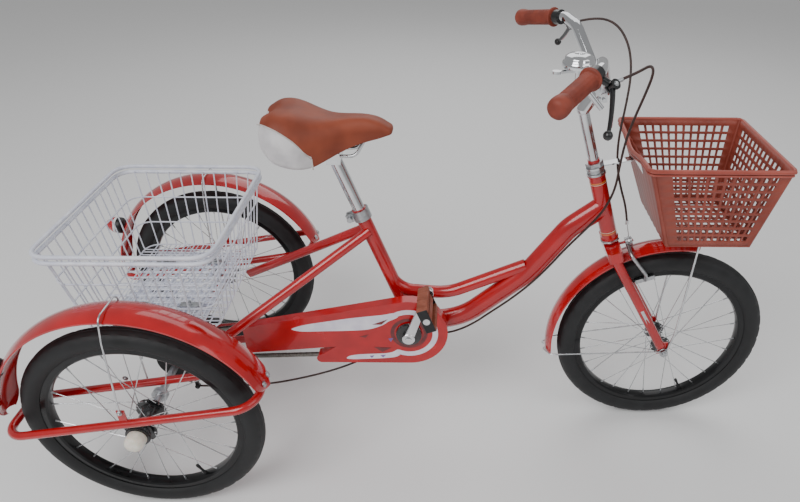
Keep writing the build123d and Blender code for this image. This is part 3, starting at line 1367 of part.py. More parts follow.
def all_nodes():
    pin, lug = rear_brake_pin()
    nodes = {
        "bb_shell": bb_shell(),
        "main_beam": main_beam(),
        "upper_tube": upper_tube(),
        "seat_tube": group(seat_tube(), frame_gusset()),
        "head_tube": head_tube(),
        "rear_stays": rear_stays(),
        "rear_subframe": rear_subframe(),
        "fender_loops": group(fender_loop(-1), fender_loop(1)),
        "rear_fenders": group(rear_fender(-1), rear_fender(1)),
        "rear_fender_stays": group(rear_fender_stay(-1), rear_fender_stay(1)),
        "rear_lamps": group(lamp(-1), lamp(1)),
        "rear_basket_rim": rear_basket_rim(),
        "rear_basket_mesh": rear_basket_mesh(),
        "chain_guard": chain_guard(),
        "chain": chain(),
        "bearing_cups": bearing_cups(),
        "band_brake": band_brake() + lug + pin,
        "seat_clamp": seat_clamp(),
        "left_shaft": left_shaft(),
        "rear_brake_cable": cable("rear_brake_cable", rear_cable_points()),
        "seat_post": seat_post(),
        "saddle_rails": saddle_rails(),
        "saddle_cushion": saddle_cushion(),
        "fork": fork(),
        "headset_nut": headset_nut(),
        "stem": stem(),
        "handlebar": handlebar(),
        "grips": group(grip(-1), grip(1)),
        "bell": bell(),
        "lever_brackets": group(lever_bracket(-1), lever_bracket(1)),
        "front_fender": front_fender(),
        "front_stays": front_stays(),
        "front_basket": front_basket(),
        "basket_bracket": basket_bracket(),
        "front_axle": front_axle(),
        "front_brake_cable": cable("front_brake_cable", front_cable_points()),
        "brake_lever_right": brake_lever(-1),
        "brake_lever_left": brake_lever(1),
        "bell_lever": bell_lever(),
        "caliper_arm_right": caliper_arm(-1),
        "caliper_arm_left": caliper_arm(1),
        "rear_brake_arm": rear_brake_arm(),
        "cranks": group(crank_set(), pedal_spindles()),
        "chainring": chainring(),
        "pedal_right": pedal(-1),
        "pedal_left": pedal(1),
        "drive_shaft": drive_shaft(),
        "rear_cog": rear_cog(),
    }
    front = Pos(WHEELBASE, 0, TYRE_R)
    nodes.update(wheel_nodes("front", front, front_hub(), FRONT_FLANGE_R, FRONT_FLANGE_Y))
    for name, side in (("right", -1), ("left", 1)):
        place = Pos(0, side * RIM_MID_Y, TYRE_R)
        nodes.update(wheel_nodes(name, place, rear_hub(side), REAR_FLANGE_R, REAR_FLANGE_Y))
    return nodes


os.makedirs("parts", exist_ok=True)
for node, shape in all_nodes().items():
    export_step(Pos(-ORIGIN_X, 0, 0) * shape, "parts/" + node + ".step")
print("origin is", round(ORIGIN_X, 3), "mm ahead of the rear axle")
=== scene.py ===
import math

import bmesh
import bpy
from mathutils import Matrix, Vector


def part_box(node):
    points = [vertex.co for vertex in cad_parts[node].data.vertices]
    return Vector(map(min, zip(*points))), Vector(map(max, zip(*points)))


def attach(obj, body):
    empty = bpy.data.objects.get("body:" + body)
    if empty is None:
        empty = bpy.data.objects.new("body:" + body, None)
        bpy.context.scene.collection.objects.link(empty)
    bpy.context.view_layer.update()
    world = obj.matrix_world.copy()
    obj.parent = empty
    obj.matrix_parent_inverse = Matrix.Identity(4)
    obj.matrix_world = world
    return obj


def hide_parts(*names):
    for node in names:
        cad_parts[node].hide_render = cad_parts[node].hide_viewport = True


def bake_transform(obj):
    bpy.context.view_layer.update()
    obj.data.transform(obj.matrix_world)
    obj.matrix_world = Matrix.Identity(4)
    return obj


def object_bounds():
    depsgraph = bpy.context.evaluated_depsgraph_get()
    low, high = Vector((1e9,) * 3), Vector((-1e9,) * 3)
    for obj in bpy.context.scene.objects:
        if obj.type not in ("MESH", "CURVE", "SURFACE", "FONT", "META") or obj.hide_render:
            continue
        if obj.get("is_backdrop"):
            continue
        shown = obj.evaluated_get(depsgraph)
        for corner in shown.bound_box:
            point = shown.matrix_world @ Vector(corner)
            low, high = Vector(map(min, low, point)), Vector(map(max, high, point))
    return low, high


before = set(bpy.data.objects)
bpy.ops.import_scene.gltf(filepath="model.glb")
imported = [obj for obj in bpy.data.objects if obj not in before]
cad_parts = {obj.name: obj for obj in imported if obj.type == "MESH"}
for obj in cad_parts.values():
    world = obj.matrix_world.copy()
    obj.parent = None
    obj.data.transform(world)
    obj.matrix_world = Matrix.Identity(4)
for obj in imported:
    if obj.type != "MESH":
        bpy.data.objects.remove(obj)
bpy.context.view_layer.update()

# Adult tricycle. Lengths are in millimetres: forward from the rear axle, to the rider's
# left from the middle plane, and up from the ground. at() turns them into the row frame.


# ---------------------------------------------------------------- main frame, red enamel
# Steel tubes brazed and welded into one low step-through frame, sprayed with a red
# base coat under clear lacquer, so it is deep, wet-looking and even, with faint ripple.
tyre_low, tyre_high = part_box("left_tyre")
AXLE_X = (tyre_low.x + tyre_high.x) / 2
SIDEWAYS = Vector((0, 1, 0))


def at(x, y, z):
    return Vector((AXLE_X + x / 1000, y / 1000, z / 1000))


def colour(hexcode):
    """An sRGB hex colour as the linear red, green, blue and alpha that shaders take."""
    parts = [int(hexcode[i : i + 2], 16) / 255 for i in (1, 3, 5)]
    linear = [c / 12.92 if c <= 0.04045 else ((c + 0.055) / 1.055) ** 2.4 for c in parts]
    return (*linear, 1.0)


def add_node(tree, kind, sockets=None, **settings):
    """Adds a node, sets its properties, and fills its sockets with values or links."""
    made = tree.nodes.new(kind)
    for name, value in settings.items():
        setattr(made, name, value)
    for name, value in (sockets or {}).items():
        if isinstance(value, bpy.types.NodeSocket):
            tree.links.new(value, made.inputs[name])
        else:
            made.inputs[name].default_value = value
    return made


def new_finish(name, **sockets):
    """A material with one Principled shader; returns the material, its tree and the shader."""
    finish = bpy.data.materials.new(name)
    finish.use_nodes = True
    shader = finish.node_tree.nodes["Principled BSDF"]
    for key, value in sockets.items():
        shader.inputs[key.replace("_", " ")].default_value = value
    return finish, finish.node_tree, shader


def painted(name, low, high, rough, cloud_mm=60.0, ripple_mm=9.0, depth_mm=0.02, cells_mm=0.0, **sockets):
    """A finish that drifts between two close colours in clouds of a size, over a fine relief."""
    finish, tree, shader = new_finish(name, **sockets)
    place = add_node(tree, "ShaderNodeTexCoord").outputs["Object"]
    cloud = add_node(tree, "ShaderNodeTexNoise", {"Vector": place, "Scale": 1000 / cloud_mm, "Detail": 2.0})
    ramp = add_node(tree, "ShaderNodeValToRGB", {"Fac": cloud.outputs["Fac"]})
    for element, position, hexcode in zip(ramp.color_ramp.elements, (0.35, 0.65), (low, high)):
        element.position = position
        element.color = colour(hexcode)
    tree.links.new(ramp.outputs["Color"], shader.inputs["Base Color"])
    spread = {"Value": cloud.outputs["Fac"], "To Min": rough[0], "To Max": rough[1]}
    gloss = add_node(tree, "ShaderNodeMapRange", spread)
    tree.links.new(gloss.outputs["Result"], shader.inputs["Roughness"])
    if cells_mm:
        relief = add_node(tree, "ShaderNodeTexVoronoi", {"Vector": place, "Scale": 1000 / cells_mm})
        height = relief.outputs["Distance"]
    else:
        relief = add_node(tree, "ShaderNodeTexNoise", {"Vector": place, "Scale": 1000 / ripple_mm})
        height = relief.outputs["Fac"]
    bump = add_node(tree, "ShaderNodeBump", {"Height": height, "Distance": depth_mm / 1000})
    tree.links.new(bump.outputs["Normal"], shader.inputs["Normal"])
    return finish


# Red base coat under lacquer: a sharp highlight over a softer one.
red_enamel = painted(
    "red_enamel", "#a80008", "#ba030d", (0.2, 0.3), depth_mm=0.03,
    IOR=1.5, Coat_Weight=0.8, Coat_Roughness=0.04, Coat_IOR=1.5,
)


def carry(finish, *names):
    """Keeps CAD nodes as they are, with a material of their own."""
    for name in names:
        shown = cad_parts[name]
        shown.data.materials.clear()
        shown.data.materials.append(finish)


carry(red_enamel, "bb_shell", "main_beam", "upper_tube", "seat_tube", "head_tube", "rear_stays")


def joined(shapes):
    """Several (vertices, faces) shapes as one."""
    verts, faces = [], []
    for v, f in shapes:
        base = len(verts)
        verts += list(v)
        faces += [tuple(i + base for i in face) for face in f]
    return verts, faces


def across(axis):
    """Two unit directions at right angles to an axis."""
    first = axis.orthogonal().normalized()
    if abs(axis.normalized().y) > 0.99:
        first = Vector((1, 0, 0))
    return first, axis.normalized().cross(first)


def lathe(profile, centre, axis, steps=48, looped=False, turn=(0, 360), shape_at=None):
    """Turns (radius, along) points in mm about an axis. A looped profile is a closed section."""
    u, v = across(axis)
    way = axis.normalized() / 1000
    full = turn[1] - turn[0] == 360
    rows = steps if full else steps + 1
    verts, faces, n = [], [], len(profile)
    for k in range(rows):
        angle = math.radians(turn[0] + (turn[1] - turn[0]) * k / steps)
        out = (u * math.cos(angle) + v * math.sin(angle)) / 1000
        for i, (radius, along) in enumerate(profile):
            if shape_at:
                radius, along = shape_at(k, i, radius, along)
            verts.append(centre + out * radius + way * along)
    for k in range(steps):
        for i in range(n if looped else n - 1):
            j, m = (i + 1) % n, (k + 1) % rows
            faces.append((k * n + i, k * n + j, m * n + j, m * n + i))
    if looped and not full:
        faces += [tuple(range(n)), tuple(range(steps * n, (steps + 1) * n))]
    return verts, faces


def piece(name, shape, finish, body, stands_for=(), crease=35, bevel=0.0):
    """Makes one mesh piece, shades it smooth up to a crease angle, and sets it riding."""
    mesh = bpy.data.meshes.new(name)
    mesh.from_pydata([tuple(v) for v in shape[0]], [], shape[1])
    work = bmesh.new()
    work.from_mesh(mesh)
    bmesh.ops.remove_doubles(work, verts=work.verts, dist=2e-6)
    bmesh.ops.dissolve_degenerate(work, edges=work.edges, dist=1e-7)
    bmesh.ops.recalc_face_normals(work, faces=work.faces)
    for face in work.faces:
        face.smooth = True
    for edge in work.edges:
        if len(edge.link_faces) == 2 and edge.calc_face_angle() > math.radians(crease):
            edge.smooth = False
    work.to_mesh(mesh)
    work.free()
    made = bpy.data.objects.new(name, mesh)
    bpy.context.collection.objects.link(made)
    mesh.materials.append(finish)
    if bevel:
        soft = made.modifiers.new("edges", "BEVEL")
        soft.width = bevel / 1000
        soft.segments = 2
        soft.limit_method = "ANGLE"
        soft.angle_limit = math.radians(crease)
    if stands_for:
        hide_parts(*stands_for)
    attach(made, body)
    return made


def weld_ring(point, axis, radius):
    """The low bead of a brazed joint, a ring round one tube's end."""
    side = [(radius - 0.6, 3.2), (radius + 1.6, 1.8)]
    bead = [(r, -a) for r, a in side] + [(radius + 2.2, 0)] + side[::-1]
    return lathe(bead, point, axis, 32)


HEAD_LEAN = math.radians(18)
FORWARD = Vector((math.cos(HEAD_LEAN), 0, math.sin(HEAD_LEAN)))
STEER_UP = Vector((-math.sin(HEAD_LEAN), 0, math.cos(HEAD_LEAN)))
crank_low, crank_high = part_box("bb_shell")
CRANK = (crank_low + crank_high) / 2


def steered(forward, left, up):
    """A point in mm from the fork crown, along the steering's own directions."""
    return at(1015, 0, 504) + (FORWARD * forward + SIDEWAYS * left + STEER_UP * up) / 1000


beads = [weld_ring(steered(0, 0, 38), STEER_UP, 18), weld_ring(steered(0, 0, 198), STEER_UP, 18)]
beads += [weld_ring(CRANK + SIDEWAYS * s, SIDEWAYS, 20) for s in (-0.032, 0.032)]
piece("weld_beads", joined(beads), red_enamel, "frame")

# ---------------------------------------------------------------- rear frame
# The axle frame is the same enamelled steel: two cross tubes, four bearing plates, the
# basket's carrier, and a closed loop of tube bent round each rear wheel.
carry(red_enamel, "rear_subframe", "fender_loops")


# ---------------------------------------------------------------- bolts and nuts
# Zinc-plated steel fasteners, tumbled bright, with the soft greyish sheen of thin plate.
zinc_steel = painted("zinc_steel", "#a9abae", "#c6c8ca", (0.28, 0.42), 8.0, 0.8, 0.01, Metallic=1.0)


def hex_nut(point, axis, across_flats=10.0, height=5.0, stud=0.0):
    """A chamfered hexagon nut with the rounded end of its bolt standing out of it."""
    r = across_flats / 2 / math.cos(math.pi / 6)
    shapes = [lathe([(0, 0), (r, 0), (r, height * 0.85), (r * 0.88, height), (0, height)], point, axis, 6)]
    if stud:
        tip = height + stud
        end = [(0, height), (r * 0.5, height), (r * 0.5, tip - 1), (r * 0.36, tip), (0, tip)]
        shapes.append(lathe(end, point, axis, 16))
    return joined(shapes)


def dome_screw(point, axis, radius=5.0):
    """A domed screw head on its washer."""
    r = radius
    washer = [(0, 0), (r * 1.5, 0), (r * 1.5, 1)]
    dome = [(r, 1.1), (r * 0.95, 2.2), (r * 0.7, 3.4), (r * 0.3, 4.1), (0, 4.2)]
    return lathe(washer + dome, point, axis, 20)


loop_bolts = []
for side in (-1, 1):
    for x in (-62, 86):
        loop_bolts.append(dome_screw(at(x, side * 218.2, 303 + 0.17 * x + 9), SIDEWAYS * side, 4))
    loop_bolts.append(hex_nut(at(-6, side * 353.6, 335), SIDEWAYS * side, 10, 4, 3))
piece("axle_plate_bolts", joined(loop_bolts), zinc_steel, "frame")


# ---------------------------------------------------------------- wheels
# Tyres are moulded rubber on black anodised alloy rims, laced with bright drawn spokes in
# brass nipples. The rubber is matt and slightly dusty on the tread, smoother on the wall.
# Near-black rubber, matt, with a fine dusty grain.
tyre_rubber = painted("tyre_rubber", "#0d0e10", "#1a1b1d", (0.5, 0.72), 30.0, 0.7, 0.06, IOR=1.52)
# Anodised alloy: a dark metallic sheen with a thin clear skin.
black_rim = painted(
    "anodised_black_rim", "#0a0a0c", "#111215", (0.24, 0.34), 40.0, 1.5, 0.01, Metallic=0.5, Coat_Weight=0.3
)
# Bright drawn wire: narrow streaky highlights.
drawn_wire = painted("drawn_spoke_steel", "#c4c6c9", "#dfe1e3", (0.2, 0.3), 20.0, 1.0, 0.004, Metallic=1.0)
# Black stove enamel, glossy, with little relief.
black_hub = painted("black_hub_enamel", "#0b0b0d", "#151518", (0.22, 0.32), 20.0, 2.0, 0.02, Coat_Weight=0.6)
# Cream polythene: waxy, with a little light let in.
cream_cap = painted(
    "cream_polythene", "#e2dccb", "#f0ebdf", (0.32, 0.42), 12.0, 1.2, 0.02, Subsurface_Weight=0.1
)
AXLE_Z = 250.0
WHEELBASE = 1165.0
WHEEL_Y = 292.0
TYRE_CENTRE_R, TYRE_HALF_HIGH, TYRE_HALF_WIDE, TYRE_WALL = 226, 24, 23, 3.5
SPOKES = 28
SPOKE_REACH = 0.1925


def tyre_shape(centre):
    """Carcass with a round section and a tread of staggered blocks cut in its crown."""
    outer, inner = [], []
    for k in range(29):
        t = math.radians(-140 + 280 * k / 28)
        for line, high, wide in (
            (outer, TYRE_HALF_HIGH, TYRE_HALF_WIDE),
            (inner, TYRE_HALF_HIGH - TYRE_WALL, TYRE_HALF_WIDE - TYRE_WALL),
        ):
            line.append((TYRE_CENTRE_R + high * math.cos(t), wide * math.sin(t)))

    def tread(k, i, radius, along):
        if not 8 < i < 20:
            return radius, along
        rib = i in (11, 14, 17)
        notch = (k + (3 if i > 14 else 0) + abs(i - 14) // 2) % 6 == 0
        return radius - (1.5 if rib or (notch and i not in (13, 15)) else 0), along

    return lathe(outer + inner[::-1], centre, SIDEWAYS, 252, True, shape_at=tread)


def rim_shape(centre):
    half = [(209, 12.2), (208.2, 13.8), (206.5, 14), (197, 13.8), (193.4, 11), (191.8, 5)]
    well = [(203, 6), (206, 11)]
    section = [(r, -a) for r, a in half] + [(191.4, 0)] + half[::-1] + well[::-1] + [(r, -a) for r, a in well]
    return lathe(section, centre, SIDEWAYS, 144, True)


def wire(points, radius, sides=8, looped=False, widths=None):
    """A round bar of a radius in mm along points, with flat ends; widths scales it along the way."""
    points = [Vector(p) for p in points]
    n = len(points)
    verts, faces, side = [], [], None
    for i, here in enumerate(points):
        before = points[i - 1] if i or looped else here
        after = points[(i + 1) % n] if i < n - 1 or looped else here
        along = (after - before).normalized()
        side = across(along)[0] if side is None else (side - along * side.dot(along)).normalized()
        other = along.cross(side)
        r = radius / 1000 * (widths[i] if widths else 1)
        for k in range(sides):
            a = 2 * math.pi * k / sides
            verts.append(here + (side * math.cos(a) + other * math.sin(a)) * r)
    for i in range(n if looped else n - 1):
        j = (i + 1) % n
        for k in range(sides):
            m = (k + 1) % sides
            faces.append((i * sides + k, i * sides + m, j * sides + m, j * sides + k))
    if not looped:
        faces += [tuple(reversed(range(sides))), tuple(range((n - 1) * sides, n * sides))]
    return verts, faces


def spoke_shapes(centre, flange_r, flange_y):
    """Crossed spokes with bent heads in the flanges, and their nipples in the rim."""
    spokes, nipples = [], []
    for index in range(SPOKES):
        side = 1 if index % 2 else -1
        leading = 1 if (index // 2) % 2 else -1
        rim_turn = 2 * math.pi * index / SPOKES
        hub_turn = rim_turn + leading * math.radians(360 / (SPOKES / 2) * 2.25)
        head = Vector((math.cos(hub_turn), 0, math.sin(hub_turn))) * (flange_r - 3) / 1000
        far = Vector((math.cos(rim_turn), 0, math.sin(rim_turn)))
        y = side * (flange_y + leading * 2.6)
        start = centre + head + SIDEWAYS * y / 1000
        tip = centre + far * SPOKE_REACH + SIDEWAYS * side * 0.003
        button = centre + head + SIDEWAYS * (side * flange_y - side * leading * 2.4) / 1000
        spokes.append(wire([button, start, start.lerp(tip, 0.02), tip], 1.0, 6))
        spokes.append(wire([button, button - SIDEWAYS * side * leading * 0.0012], 2.0, 8))
        way = (tip - start).normalized()
        nipples.append(wire([tip - way * 0.012, tip - way * 0.003, tip], 1.9, 8, widths=[0.8, 0.9, 1.3]))
    return joined(spokes), joined(nipples)


def hub_section(barrel, flange_r, flange_y, half):
    """Half section of a hub shell: barrel, raised flanges and end cones."""
    one = [
        (barrel * 0.86, 0), (barrel * 0.9, flange_y * 0.5), (barrel * 1.12, flange_y - 4),
        (flange_r - 5, flange_y - 2), (flange_r - 1, flange_y - 1.6), (flange_r, flange_y - 0.8),
        (flange_r, flange_y + 0.8),
        (flange_r - 1, flange_y + 1.6), (barrel + 3, flange_y + 2), (barrel, flange_y + 5), (barrel, half),
        (barrel * 0.55, half + 0.2),
    ]
    return [(r, -a) for r, a in one[::-1]] + one


def valve(centre):
    way = Vector((math.cos(math.radians(-62)), 0, math.sin(math.radians(-62))))
    base = centre + way * 0.192
    stem = [(0, 0), (5, 0), (4.4, 3), (3, 8), (2.7, 20), (3.4, 20.5), (3.6, 29), (2.6, 31), (0, 31)]
    return lathe(stem, base, -way, 16)


for name, body, centre, barrel, flange_r, flange_y in (
    ("front", "front_wheel", at(WHEELBASE, 0, AXLE_Z), 14, 24, 29),
    ("right", "drive_wheel", at(0, -WHEEL_Y, AXLE_Z), 21, 33, 28),
    ("left", "left_wheel", at(0, WHEEL_Y, AXLE_Z), 21, 33, 28),
):
    half = 46 if name == "front" else 38
    spokes, nipples = spoke_shapes(centre, flange_r, flange_y)
    piece(name + "_tyre_moulded", tyre_shape(centre), tyre_rubber, body, [name + "_tyre"], 28)
    piece(name + "_rim_rolled", rim_shape(centre), black_rim, body, [name + "_rim"])
    piece(name + "_spokes_laced", spokes, drawn_wire, body, [name + "_spokes"])
    piece(name + "_nipples", nipples, zinc_steel, body)
    shell = lathe(hub_section(barrel, flange_r, flange_y, half), centre, SIDEWAYS, 64)
    piece(name + "_hub_shell", shell, black_hub, body, [name + "_hub"])
    piece(name + "_valve", valve(centre), tyre_rubber, body)
    if name == "front":
        continue
    out = SIDEWAYS * (-1 if name == "right" else 1)

    def knurl(k, i, radius, along):
        return (radius + (0.9 if k % 2 and radius > 22 else 0), along)

    lock = [(18, 38), (24.5, 38), (25, 39.5), (25, 46), (24, 48), (18, 48)]
    ring = lathe(lock, centre, out, 72, shape_at=knurl)
    piece(name + "_lock_ring", ring, black_hub, body)
    cap = [(19, 48), (20, 49), (20, 62), (19, 69), (15, 74.5), (9, 77.4), (0, 78)]
    piece(name + "_dust_cap", lathe(cap, centre, out, 48), cream_cap, body)


# ---------------------------------------------------------------- mudguards
# Rolled steel, pressed to a crown with a wired edge, sprayed in the same red as the frame
# but glossier. Each is bolted to its wheel loop; the front one hangs in the fork.
fender_enamel = painted(
    "fender_enamel", "#ac0009", "#c0040f", (0.12, 0.2), depth_mm=0.015,
    IOR=1.5, Coat_Weight=1.0, Coat_Roughness=0.03, Coat_IOR=1.5,
)


REAR_GUARD_R, FRONT_GUARD_R, LAMP_TURN = 292, 281, 172


def mudguard(centre, radius, width, front, back):
    """A crowned shell with rolled edges and rounded ends."""
    half, outside, inside = width / 2, [], []
    for k in range(17):
        s = -1 + 2 * k / 16
        outside.append((radius - 9 * s * s, half * s))
        inside.append((radius - 1.5 - 9 * s * s, (half - 1.2) * s))
    roll = [(radius - 12.4, -half + 0.4), (radius - 12.8, -half + 2), (radius - 11.4, -half + 2.6)]
    section = [*roll[::-1], *outside, *[(r, -a) for r, a in roll], *inside[::-1]]
    steps = round((back - front) * 1.2)

    def rounded_end(k, i, r, along):
        away = min(k, steps - k) / steps * (back - front)
        inward = max(0, 1 - math.radians(away) * radius / (half * 0.8))
        return r, along * math.sqrt(1 - 0.86 * inward * inward)

    return lathe(section, centre, SIDEWAYS, steps, True, (-back, -front), rounded_end)


def on_fender(centre, radius, angle, left):
    turn = math.radians(angle)
    out = Vector((math.cos(turn), 0, math.sin(turn)))
    return centre + out * (radius - 9 * (left / 36) ** 2) / 1000 + SIDEWAYS * left / 1000, out


for name, side in (("right", -1), ("left", 1)):
    centre = at(5, side * WHEEL_Y, 256)
    shell = mudguard(centre, REAR_GUARD_R, 72, 20, 175)
    stands = ["rear_fenders"] if side < 0 else []
    piece(name + "_mudguard", shell, fender_enamel, "frame", stands)
    bolts = []
    for angle, left in ((23, 14), (23, -14), (LAMP_TURN, 12), (LAMP_TURN, -12)):
        point, out = on_fender(centre, REAR_GUARD_R, angle, left)
        bolts.append(dome_screw(point, out, 4.5))
    piece(name + "_mudguard_bolts", joined(bolts), zinc_steel, "frame")

front_shell = mudguard(at(WHEELBASE, 0, AXLE_Z), FRONT_GUARD_R, 56, 80, 190)
piece("front_mudguard", front_shell, fender_enamel, "steering", ["front_fender"])
tail_screws = []
for left in (-13, 13):
    point, out = on_fender(at(WHEELBASE, 0, AXLE_Z), FRONT_GUARD_R, 186, left)
    tail_screws.append(dome_screw(point + out * 0.003, out, 4))
piece("front_mudguard_screws", joined(tail_screws), zinc_steel, "steering")
carry(drawn_wire, "rear_fender_stays", "front_stays")

# ---------------------------------------------------------------- rear lamps
# Unlit reflector lamps on the backs of the mudguards: a black moulded base, a white ring
# and a red ribbed cone in clear acrylic over it.
# Red acrylic: clear gloss over a deep colour.
lamp_red = painted(
    "lamp_acrylic_red", "#b0101a", "#d32430", (0.08, 0.16), 10.0, 2.0, 0.05,
    IOR=1.49, Transmission_Weight=0.25, Coat_Weight=0.8, Coat_Roughness=0.03,
)
# White moulded ring, plain and half gloss.
lamp_white = painted("lamp_ring_white", "#dcdcdf", "#ededee", (0.25, 0.35), 14.0, 1.5, 0.02)
# Black moulded plastic, half matt, lightly grained.
black_plastic = painted("black_plastic", "#101113", "#191a1c", (0.34, 0.5), 12.0, 0.9, 0.05, IOR=1.46)
for name, side in (("right", -1), ("left", 1)):
    turn = math.radians(LAMP_TURN)
    out = Vector((math.cos(turn), 0, math.sin(turn)))
    foot = at(-252.8, side * WHEEL_Y, 393.1) + out * 0.003
    base = lathe([(0, 0.2), (18, 0.2), (21.4, 4), (22, 8), (22, 15), (21, 16), (0, 16)], foot, out, 48)
    stands = ["rear_lamps"] if side < 0 else []
    piece(name + "_lamp_base", base, black_plastic, "frame", stands)
    band = lathe([(0, 16), (21.6, 16), (22.1, 17), (22.1, 21), (21.4, 22), (0, 22)], foot, out, 48)
    piece(name + "_lamp_ring", band, lamp_white, "frame")

    def ribs(k, i, radius, along):
        return radius * (1 + (0.02 if k % 2 else -0.02)) if 1 < i < 6 else radius, along

    cone = [(0, 22), (21.2, 22), (21.3, 24), (17.8, 31), (14, 38), (9.5, 43.4), (4.5, 45.6), (0, 46)]
    piece(name + "_lamp_lens", lathe(cone, foot, out, 48, shape_at=ribs), lamp_red, "frame")

# ---------------------------------------------------------------- rear basket
# Spot-welded steel wire, dipped in a pale lilac-white coating. Two thick rings make the rim,
# thin wires run down one wall, across the floor and up the other, and it sits on the carrier.
# Pale lilac dip coating, soft and slightly lumpy.
coated_wire = painted("pale_wire_coating", "#d3d6e4", "#e6e8f0", (0.3, 0.42), 25.0, 1.4, 0.04, IOR=1.5)
BACK, FRONT, HALF = -175.0, 180.0, 212.0
MESH_TOP, MESH_FLOOR = 596, 402


def rounded(points, bend, steps=5, looped=False):
    """Corner points of a bent bar turned into a path with arcs of about that bend in mm."""
    points = [Vector(p) for p in points]
    path, n = [], len(points)
    for i, here in enumerate(points):
        if not looped and i in (0, n - 1):
            path.append(here)
            continue
        back, on = points[i - 1] - here, points[(i + 1) % n] - here
        cut = min(bend / 1000, back.length / 2.01, on.length / 2.01)
        first, last = here + back.normalized() * cut, here + on.normalized() * cut
        for k in range(steps + 1):
            t = k / steps
            path.append(first * (1 - t) ** 2 + here * 2 * t * (1 - t) + last * t * t)
    return path


def block(centre, size, x_way=Vector((1, 0, 0)), z_way=Vector((0, 0, 1))):
    """A brick of a size in mm round a point, with its long way and its upright way."""
    x_way = x_way.normalized()
    y_way = z_way.cross(x_way).normalized()
    z_way = x_way.cross(y_way)
    half = [s / 2000 for s in size]
    verts = []
    for a, b, c in [(a, b, c) for a in (-1, 1) for b in (-1, 1) for c in (-1, 1)]:
        verts.append(centre + x_way * a * half[0] + y_way * b * half[1] + z_way * c * half[2])
    faces = [(0, 1, 3, 2), (4, 6, 7, 5), (0, 4, 5, 1), (2, 3, 7, 6), (0, 2, 6, 4), (1, 5, 7, 3)]
    return verts, faces


def ring_path(back, front, half, z, corner=45):
    """A rounded rectangle at one height, as points."""
    corners = [(front, half), (back, half), (back, -half), (front, -half)]
    return rounded([at(x, y, z) for x, y in corners], corner, 8, True)


def basket_wall(z, gap=5.5):
    """The wire basket's back, front and half width at a height."""
    t = 28 * (607 - z) / 207
    return BACK + gap + t, FRONT - gap - t, HALF - gap - t


def down_and_across(low, high, make):
    """One wire: down a wall, across the floor, up the other wall."""
    corners = [(low[0], MESH_TOP), (low[1], MESH_FLOOR), (high[1], MESH_FLOOR), (high[0], MESH_TOP)]
    return wire(rounded([make(*corner) for corner in corners], 8, 4), 1.6, 6)


rim_rings = [wire(ring_path(BACK, FRONT, HALF, z), 4.5, 12, True) for z in (607, 593)]
piece("rear_basket_rim_rings", joined(rim_rings), coated_wire, "frame", ["rear_basket_rim"])
mesh_wires = []
top, bottom = basket_wall(MESH_TOP), basket_wall(MESH_FLOOR)
for k in range(13):
    s = -0.86 + 1.72 * k / 12

    def lengthwise(x, z, s=s):
        return at(x, s * (top if z == MESH_TOP else bottom)[2], z)

    mesh_wires.append(down_and_across((top[0], bottom[0]), (top[1], bottom[1]), lengthwise))
for k in range(11):
    s = 0.09 + 0.82 * k / 10

    def crosswise(y, z, s=s):
        back, front = (top if z == MESH_TOP else bottom)[:2]
        return at((1 - s) * back + s * front, y, z)

    mesh_wires.append(down_and_across((-top[2], -bottom[2]), (top[2], bottom[2]), crosswise))
for z in (532, 466, 404):
    back, front, half = basket_wall(z, 7.5)
    mesh_wires.append(wire(ring_path(back, front, half, z, 38), 1.8, 8, True))
for k in range(1, 26):
    y = (-0.86 + 1.72 * k / 26) * bottom[2]
    if k % 2:
        mesh_wires.append(wire([at(bottom[0] + 2, y, MESH_FLOOR), at(bottom[1] - 2, y, MESH_FLOOR)], 1.4, 6))
for k in range(1, 20, 2):
    x = bottom[0] + (0.09 + 0.82 * k / 20) * (bottom[1] - bottom[0])
    mesh_wires.append(wire([at(x, -bottom[2] + 2, 404.4), at(x, bottom[2] - 2, 404.4)], 1.2, 6))
piece("rear_basket_wires", joined(mesh_wires), coated_wire, "frame", ["rear_basket_mesh"])
plate_verts, plate_faces = [], []
for j in range(28):
    for i in range(22):
        plate_verts.append(at(-105 + 210 * i / 21, -150 + 300 * j / 27, 397.4))
for j in range(27):
    for i in range(21):
        if not (i % 2 and j % 2):
            a = j * 22 + i
            plate_faces.append((a, a + 1, a + 23, a + 22))
tray = piece("carrier_plate", (plate_verts, plate_faces), coated_wire, "frame")
thick = tray.modifiers.new("sheet", "SOLIDIFY")
thick.thickness = 0.0012
clamps = []
for x in (-60, 60):
    for y in (-90, 90):
        clamps.append(block(at(x, y, 407.5), (46, 16, 3)))
        clamps.append(hex_nut(at(x, y, 409), Vector((0, 0, 1)), 10, 5, 5))
piece("rear_basket_clamps", joined(clamps), zinc_steel, "frame", bevel=0.6)

# ---------------------------------------------------------------- front basket
# One injection moulding in terracotta polypropylene: walls of square cells, solid corner
# posts, a ribbed back and a turned-out lip. It hangs on the bracket and rests on two stays.
# Brown-red polypropylene, half matt.
terracotta = painted("terracotta_plastic", "#84382a", "#99483a", (0.36, 0.5), 70.0, 0.8, 0.06, IOR=1.49)
RIM_BOX = (1022.0, 1294.0, 140.0, 764.0)
FLOOR_BOX = (1094.0, 1270.0, 106.0, 578.0)


def tray_point(edge, s, t, inset=0.0):
    """A point on one wall: s along it, t up it, inset in mm. Walls go round from the right."""
    back, front, half, z = [f + (r - f) * t for f, r in zip(FLOOR_BOX, RIM_BOX)]
    back, front, half = back + inset, front - inset, half - inset
    corners = [(back, -half), (front, -half), (front, half), (back, half), (back, -half)]
    (x0, y0), (x1, y1) = corners[edge], corners[edge + 1]
    if edge == 3 and t > 0.99:
        z -= 16 * math.sin(math.pi * s) ** 4
    return at(x0 + (x1 - x0) * s, y0 + (y1 - y0) * s, z)


